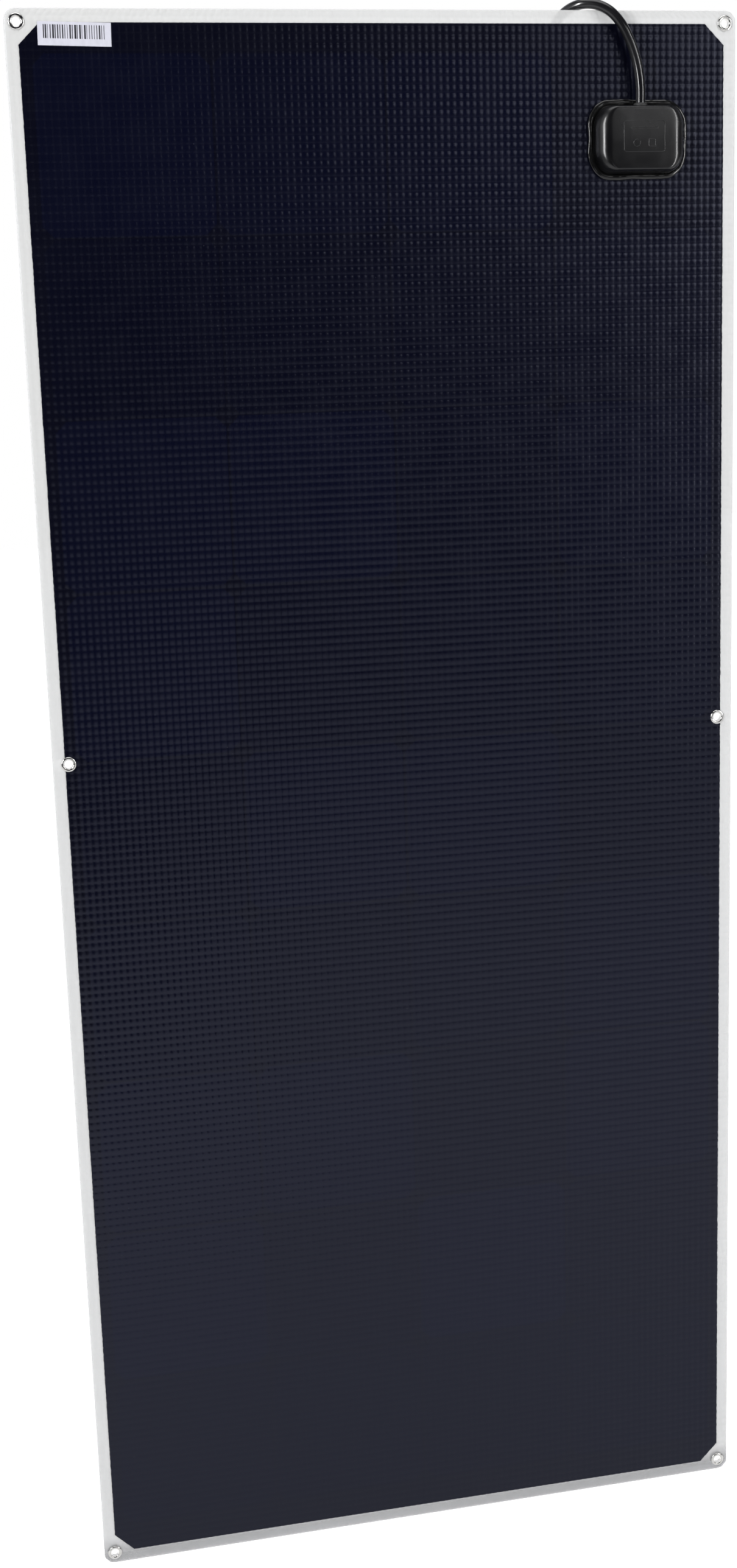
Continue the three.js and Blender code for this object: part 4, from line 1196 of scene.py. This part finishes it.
    def level_seams(self, piece: Object) -> None:
        """Makes the shading run on across the seams between the film's parts.

        A point on a seam's front gets the plain forward normal that a groove's bottom has.
        """
        mesh = piece.data
        low, high = self.film_box()
        places = vertex_places(mesh)
        seams = [high.z + (low.z - high.z) * first / self.pad_rows
                 for _, first, _, _ in self.film_parts[1:]]
        on_seam = np.abs(places[:, 2:] - np.array(seams)).min(axis=1) < self.seam_reach
        on_front = places[:, 1] < high.y - self.seam_reach
        normals = np.where((on_seam & on_front)[:, None], (0.0, -1.0, 0.0), (0.0, 0.0, 0.0))
        mesh.normals_split_custom_set_from_vertices(normals.tolist())

    def keep_rest(self, piece: Object) -> None:
        """Stores each point's own place, so that a pattern follows the film as it bends."""
        rest = piece.data.attributes.new("rest", "FLOAT_VECTOR", "POINT")
        rest.data.foreach_set("vector", vertex_places(piece.data).ravel())

    def joined_layer(self, name: str, nodes: tuple[str, str]) -> Object:
        """One plate from a layer's two halves.

        The two cut faces at the flex line are taken away, their edges are brought together,
        and the plate gets level cuts through the stretch that bends.
        """
        work = bmesh.new()
        for node in nodes:
            work.from_mesh(frame["nodes"][node].data)
        bmesh.ops.remove_doubles(work, verts=work.verts, dist=self.weld)
        flex = LAYOUT.flex_line
        at_cut = [v for v in work.verts if abs(v.co.z - flex) < self.flex_reach]
        chosen = set(at_cut)
        ends = [f for f in work.faces if chosen.issuperset(f.verts)]
        bmesh.ops.delete(work, geom=ends, context="FACES_ONLY")
        for vert in at_cut:
            vert.co.z = flex
        bmesh.ops.remove_doubles(work, verts=work.verts, dist=self.flex_weld)
        for z in np.linspace(LAYOUT.bend_start[2], LAYOUT.bend_end[2], self.bend_cuts):
            everything = [*work.verts, *work.edges, *work.faces]
            bmesh.ops.bisect_plane(work, geom=everything, plane_co=(0, 0, z),
                                   plane_no=(0, 0, 1))
        mesh = bpy.data.meshes.new(name)
        work.to_mesh(mesh)
        work.free()
        return new_object(name, mesh)

    def build_layers(self) -> None:
        """Makes the flat layers behind the front film, each as one plate that bends."""
        clear = FINISHES["encapsulant"].material()
        cell = FINISHES["cell"].material()
        layers = [("front_encapsulant", "encapsulant", clear),
                  ("rear_encapsulant", "encapsulant", clear),
                  ("core_sheet", "core_sheet", CoreSheetFinish().material()),
                  ("rear_film", "rear_film", FINISHES["rear_film"].material())]
        layers += [(f"cell_string_{number}", "solar_cell", cell) for number in range(1, 5)]
        for name, slot, material in layers:
            nodes = (f"{name}_upper", f"{name}_lower")
            piece = self.joined_layer(f"{name}_whole", nodes)
            settle(piece, Place.BENDS, slot, material, *nodes)

    def build(self) -> None:
        """Makes every layer."""
        self.build_film()
        self.build_layers()


@dataclass
class Eyelets:
    """Six rolled eyelets and their washers."""

    bore: float = 3.3 * MM
    wall: float = 0.5 * MM
    flange: float = 5.7 * MM
    lip: float = 4.7 * MM
    lip_thickness: float = 0.35 * MM
    washer_step: float = 4.9 * MM
    edge: float = 0.15 * MM
    gap: float = 0.1 * MM
    seat_gap: float = 0.02 * MM
    dome_steps: int = 17
    roll_steps: int = 7

    def eyelet_profile(self, back: float, front: float, seat: float) -> np.ndarray:
        """A barrel with a domed flange in front and a rolled lip behind, as radius and level.

        The dome is half an ellipse from the bore to the flange's rim.
        """
        barrel = self.bore + self.wall
        middle = (self.bore + self.flange) / 2
        reach = (self.flange - self.bore) / 2
        rise = front - seat - self.edge
        dome = arc((middle, seat + self.edge), (reach, rise), 0, 180, self.dome_steps)
        half = self.lip_thickness / 2
        roll = arc((self.lip - half, back + half), (half, half), -90, 90, self.roll_steps)
        rest = np.array([[self.bore, back + half], [self.bore + self.edge, back]])
        step = np.array([[barrel, back + 2 * half], [barrel, seat], [self.flange - self.edge, seat]])
        return np.concatenate([rest, roll, step, dome])

    def washer_profile(self, back: float, front: float) -> np.ndarray:
        """A flat ring with a step that takes the rolled lip, its edges slightly rounded."""
        bore = self.bore + self.wall + self.gap
        step = back + self.lip_thickness + self.gap
        return np.array([
            [bore, step], [self.washer_step, step], [self.washer_step, back + self.edge],
            [self.washer_step + self.edge, back], [self.flange - self.edge, back],
            [self.flange, back + self.edge], [self.flange, front - self.edge],
            [self.flange - self.edge, front], [bore, front],
        ])

    def build(self) -> None:
        """Makes an eyelet and a washer at each of the frame's six places."""
        nickel = FINISHES["nickel"].material()
        seat = -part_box("front_film_upper")[0].y + self.seat_gap
        for node in [n for n in frame["nodes"] if n.startswith("eyelet_washer")]:
            spot = node.removeprefix("eyelet_washer_")
            low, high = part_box(f"eyelet_{spot}")
            washer_low, washer_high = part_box(node)
            centre = ((low.x + high.x) / 2, 0.0, (low.z + high.z) / 2)
            place = Place.LOWER if spot.startswith("bottom") else Place.UPPER
            ring = turned(f"rolled_eyelet_{spot}", self.eyelet_profile(-high.y, -low.y, seat),
                          centre, "Y")
            settle(ring, place, "eyelet", nickel, f"eyelet_{spot}")
            profile = self.washer_profile(-washer_high.y, -washer_low.y)
            washer = turned(f"back_washer_{spot}", profile, centre, "Y")
            settle(washer, place, "eyelet", nickel, node)


@dataclass
class Label:
    """The paper label, which dips a little into the film's grooves."""

    width: float = 51.3 * MM
    height: float = 16 * MM
    tilt: float = math.radians(-1.2)
    thickness: float = 0.1 * MM
    dip: float = 0.12 * MM
    pitch: float = 5.065 * MM
    columns: int = 81
    rows: int = 25

    def build(self) -> None:
        """Makes a closed sheet that dips over the film's grooves with the cosine of their pitch."""
        low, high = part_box("identification_label")
        centre = (low + high) / 2
        u, v = np.meshgrid(np.linspace(0, 1, self.columns), np.linspace(0, 1, self.rows))
        x, z = (u - 0.5) * self.width, (v - 0.5) * self.height
        turn_x = x * math.cos(self.tilt) - z * math.sin(self.tilt) + centre.x
        turn_z = x * math.sin(self.tilt) + z * math.cos(self.tilt) + centre.z
        groove = np.cos(2 * np.pi * (turn_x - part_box("front_film_upper")[0].x) / self.pitch)
        front = low.y + self.dip * 0.5 * (1 + groove)
        face = np.stack([turn_x, front, turn_z], axis=-1)
        rear = face + np.array([0, self.thickness, 0])
        points = np.concatenate([face.reshape(-1, 3), rear.reshape(-1, 3)])
        count = self.rows * self.columns
        faces = grid_faces(self.rows, self.columns)
        number = np.arange(count).reshape(self.rows, self.columns)
        rim = np.concatenate([number[0, :-1], number[:-1, -1], number[-1, :0:-1],
                              number[:0:-1, 0]])
        following = np.roll(rim, -1)
        sides = np.stack([rim, following, following + count, rim + count], axis=-1)
        every = np.concatenate([faces, faces + count, sides]).tolist()
        piece = piece_from("printed_label", points, every)
        layer = piece.data.uv_layers.new(name="label")
        loops = np.empty(len(piece.data.loops), np.int32)
        piece.data.loops.foreach_get("vertex_index", loops)
        spots = np.stack([u.ravel(), v.ravel()], axis=-1)[loops % count]
        layer.data.foreach_set("uv", spots.ravel().astype(np.float32))
        settle(piece, Place.UPPER, "label", LabelFinish().material(), "identification_label")


@dataclass
class JunctionBox:
    """The box: a domed cover with a raised frame, its base and inner parts, and its bead."""

    flat_half: float = 24 * MM
    corner: tuple = (12 * MM, 17 * MM)
    top_corner: tuple = (6 * MM, 9 * MM)
    skirt: float = 3 * MM
    end_draft: float = 2.2 * MM
    crown: float = 0.25 * MM
    wall: float = 1.6 * MM
    corner_steps: int = 14
    dome_steps: int = 16
    crown_rings: tuple = (0.93, 0.8, 0.55, 0.3, 0.1)
    hole_gap: float = 0.1 * MM
    hole_length: float = 12 * MM
    bead_width: float = 2.3 * MM
    bead_count: int = 420
    bead_sides: int = 28
    bead_corner_steps: int = 40
    bead_margin: float = 0.15 * MM
    bead_lift: float = 0.45
    bead_waves: tuple = (3, 5, 8, 13, 21, 34)
    bead_swells: tuple = (0.30, 0.26, 0.20, 0.14, 0.09, 0.05)
    mark_place: tuple = (0.6 * MM, 1.0 * MM)
    ridge: float = 0.3 * MM
    ridge_sides: int = 10
    ridge_depth: float = 0.4
    seal_bore: float = 3.75 * MM
    seal_lip: float = 1.4 * MM
    own_finish: dict = field(default_factory=lambda: {
        "box_base": "box_plastic", "cable_clamp": "box_plastic", "cover_gasket": "rubber",
        "clamp_screw_left": "zinc", "clamp_screw_right": "zinc", "positive_terminal": "copper",
        "negative_terminal": "copper", "bypass_diode": "diode", "positive_inner_core": "core_red",
        "negative_inner_core": "core_black", "bus_ribbon_top": "ribbon",
        "bus_ribbon_bottom_left": "ribbon", "bus_ribbon_bottom_right": "ribbon",
        "positive_ribbon": "ribbon", "negative_ribbon": "ribbon"})

    def cover(self) -> Object:
        """The domed shell.

        Its rings are rectangles with elliptical corners. Up the skirt they keep their size;
        over the dome the half width falls to the flat's with the cosine of an angle while the
        level rises with its sine, and over the crown they shrink towards the middle.
        """
        low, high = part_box("box_cover")
        centre, half = (low + high) / 2, (high - low) / 2
        turn = np.radians(np.linspace(0, 90, self.dome_steps))
        shrink = np.array(self.crown_rings)
        top = -low.y - self.crown
        shoulder = -high.y + self.skirt
        across = self.flat_half + (half.x - self.flat_half) * np.cos(turn)
        along = half.z - self.end_draft * (1 - np.cos(turn))
        size = np.stack([across, along], axis=-1)
        share = np.cos(turn)[:, None]
        corner = np.array(self.corner) * share + np.array(self.top_corner) * (1 - share)
        sizes = np.concatenate([[[half.x, half.z]], size, size[-1] * shrink[:, None]])
        corners = np.concatenate([[self.corner], corner, corner[-1] * shrink[:, None]])
        rise = shoulder + (top - shoulder) * np.sin(turn)
        crown = top + self.crown * (1 - shrink**2)
        levels = np.concatenate([[-high.y], rise, crown])
        outline = round_corner_outline(sizes, corners, self.corner_steps)
        level = np.broadcast_to(levels[:, None], outline.shape[:2])
        points = np.stack([centre.x + outline[..., 0], -level, centre.z + outline[..., 1]],
                          axis=-1)
        count, sides = level.shape
        faces = grid_faces(count, sides, Wrap.AROUND).tolist()
        faces.append(list(range((count - 1) * sides, count * sides)))
        return self.shell(points, faces)

    def shell(self, points: np.ndarray, faces: list) -> Object:
        """Gives the dome its wall and the hole that the lead goes through."""
        piece = piece_from("domed_cover", points, faces)
        if piece.data.polygons[-1].normal.y > 0:
            piece.data.flip_normals()
        solid = piece.modifiers.new("wall", "SOLIDIFY")
        solid.thickness = self.wall
        solid.offset = -1
        apply_modifiers(piece)
        low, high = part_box("cable_seal")
        middle = (low + high) / 2
        hole = (high.x - low.x) / 2 + self.hole_gap
        place = (middle.x, middle.y, high.z)
        cut_away(piece, [rod("cut_lead", place, hole, self.hole_length, "Z")])
        return piece

    def ridge_loop(self, half: tuple, corner: float, centre: tuple, name: str) -> Object:
        """A thin raised line along a rounded rectangle on the cover's flat.

        It is a round bar whose lower half lies in the cover.
        """
        outline = round_corner_outline(np.array([half]), np.full((1, 2), corner), 8)[0]
        centre_line = np.stack([centre[0] + outline[:, 0], np.full(len(outline), centre[1]),
                                centre[2] + outline[:, 1]], axis=-1)
        ahead = unit(np.roll(centre_line, -1, axis=0) - np.roll(centre_line, 1, axis=0))
        outward = np.cross(ahead, np.array([0, 1, 0]))
        angle = round_steps(self.ridge_sides)[None, :, None]
        front = np.array([0, -1, 0])
        points = centre_line[:, None] + self.ridge * (outward[:, None] * np.cos(angle)
                                                      + front * np.sin(angle))
        return piece_from(name, points, grid_faces(*points.shape[:2], Wrap.BOTH).tolist())

    def marks(self) -> list[Object]:
        """A raised frame with three plain raised shapes and no lettering."""
        low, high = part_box("box_cover")
        x = (low.x + high.x) / 2 + self.mark_place[0]
        y = low.y + self.crown * self.ridge_depth
        z = (low.z + high.z) / 2 + self.mark_place[1]
        shapes = [
            ((16 * MM, 11 * MM), 1.8 * MM, (x, y, z), "mark_frame"),
            ((10.5 * MM, 0.7 * MM), 0.69 * MM, (x, y, z + 6 * MM), "mark_bar"),
            ((2.6 * MM, 2.6 * MM), 2.59 * MM, (x - 6 * MM, y, z - 4.6 * MM), "mark_ring"),
            ((2.6 * MM, 2.6 * MM), 0.5 * MM, (x + 6 * MM, y, z - 4.6 * MM), "mark_square"),
        ]
        return [self.ridge_loop(*shape) for shape in shapes]

    def bead(self) -> Object:
        """The sealant bead: a rounded section carried round the box.

        Its centre line is the base's outline grown by half the bead. The width and height
        swell by sums of sine waves whose lengths fit the outline a whole number of times.
        """
        low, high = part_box("adhesive_bead")
        centre, half = (low + high) / 2, (high - low) / 2
        size = np.array([[half.x - self.bead_width, half.z - self.bead_width]])
        corner = np.array([self.corner]) + self.bead_width
        outline = round_corner_outline(size, corner, self.bead_corner_steps)[0]
        closed = np.concatenate([outline, outline[:1]])
        run = run_along(closed)
        step = np.linspace(0, run[-1], self.bead_count, endpoint=False)
        line = np.stack([np.interp(step, run, closed[:, axis]) for axis in (0, 1)], axis=-1)
        ahead = unit(np.roll(line, -1, axis=0) - np.roll(line, 1, axis=0))
        outward = np.stack([ahead[:, 1], -ahead[:, 0]], axis=-1)
        share = 2 * np.pi * step / run[-1]
        random = np.random.default_rng(SEED)
        waves = np.array(self.bead_waves)
        phase = random.random((3, len(waves), 1)) * 2 * np.pi
        strength = np.array(self.bead_swells)[:, None] * MM
        swell, lift, drift = (np.sum(strength * np.sin(waves[:, None] * share + p), axis=0)
                              for p in phase)
        angle = round_steps(self.bead_sides)
        reach = (self.bead_width - self.bead_margin + 0.5 * swell)[:, None] * np.cos(angle)
        reach = reach + 0.5 * drift[:, None]
        rear, front = -high.y, -low.y
        tall = (front - rear) / 2 + self.bead_lift * lift[:, None]
        level = np.maximum(rear + tall + tall * np.sin(angle), rear)
        spot = line[:, None] + outward[:, None] * reach[..., None]
        points = np.stack([centre.x + spot[..., 0], -level, centre.z + spot[..., 1]], axis=-1)
        faces = grid_faces(*level.shape, Wrap.BOTH).tolist()
        return piece_from("sealant_bead", points, faces, smooth_below=60)

    def seal(self) -> Object:
        """The soft collar round the lead, with a rounded lip outside the wall."""
        low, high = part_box("cable_seal")
        centre = ((low.x + high.x) / 2, (low.y + high.y) / 2, 0.0)
        outer = (high.x - low.x) / 2
        bore, lip = self.seal_bore, self.seal_lip
        nose = arc((bore, high.z - lip), (outer - bore, lip), 0, 85, 9)
        profile = np.concatenate([[[bore, low.z], [outer, low.z]], nose, [[bore, high.z]]])
        return turned("lead_seal", profile, centre, "Z", 48)

    def build(self) -> None:
        """Makes the cover, bead and seal, and dresses the parts inside."""
        plastic = FINISHES["box_plastic"].material()
        settle(self.cover(), Place.UPPER, "box_plastic", plastic, "box_cover")
        for mark in self.marks():
            settle(mark, Place.UPPER, "box_plastic", plastic)
        settle(self.bead(), Place.UPPER, "sealant", FINISHES["sealant"].material(),
               "adhesive_bead")
        settle(self.seal(), Place.UPPER, "rubber", FINISHES["rubber"].material(), "cable_seal")
        made = {"box_plastic": plastic}
        for node, finish in self.own_finish.items():
            if finish not in made:
                made[finish] = FINISHES[finish].material()
            dress(frame["nodes"][node], made[finish])


def dress(node: Object, material: bpy.types.Material) -> None:
    """Gives a node of the frame its finish and leaves its shape alone."""
    if not node.material_slots:
        node.data.materials.append(material)
    for holder in node.material_slots:
        holder.material = material
    log.info("%s: dressed as %s", node.name, material.name)


def main() -> None:
    """Builds the studio, the lead and then the rest of the sheet."""
    logging.basicConfig(level=logging.INFO, format="%(name)s: %(message)s")
    Studio().build()
    for assembly in (Lead(), Laminate(), Eyelets(), Label(), JunctionBox()):
        assembly.build()


if __name__ == "__main__":
    main()
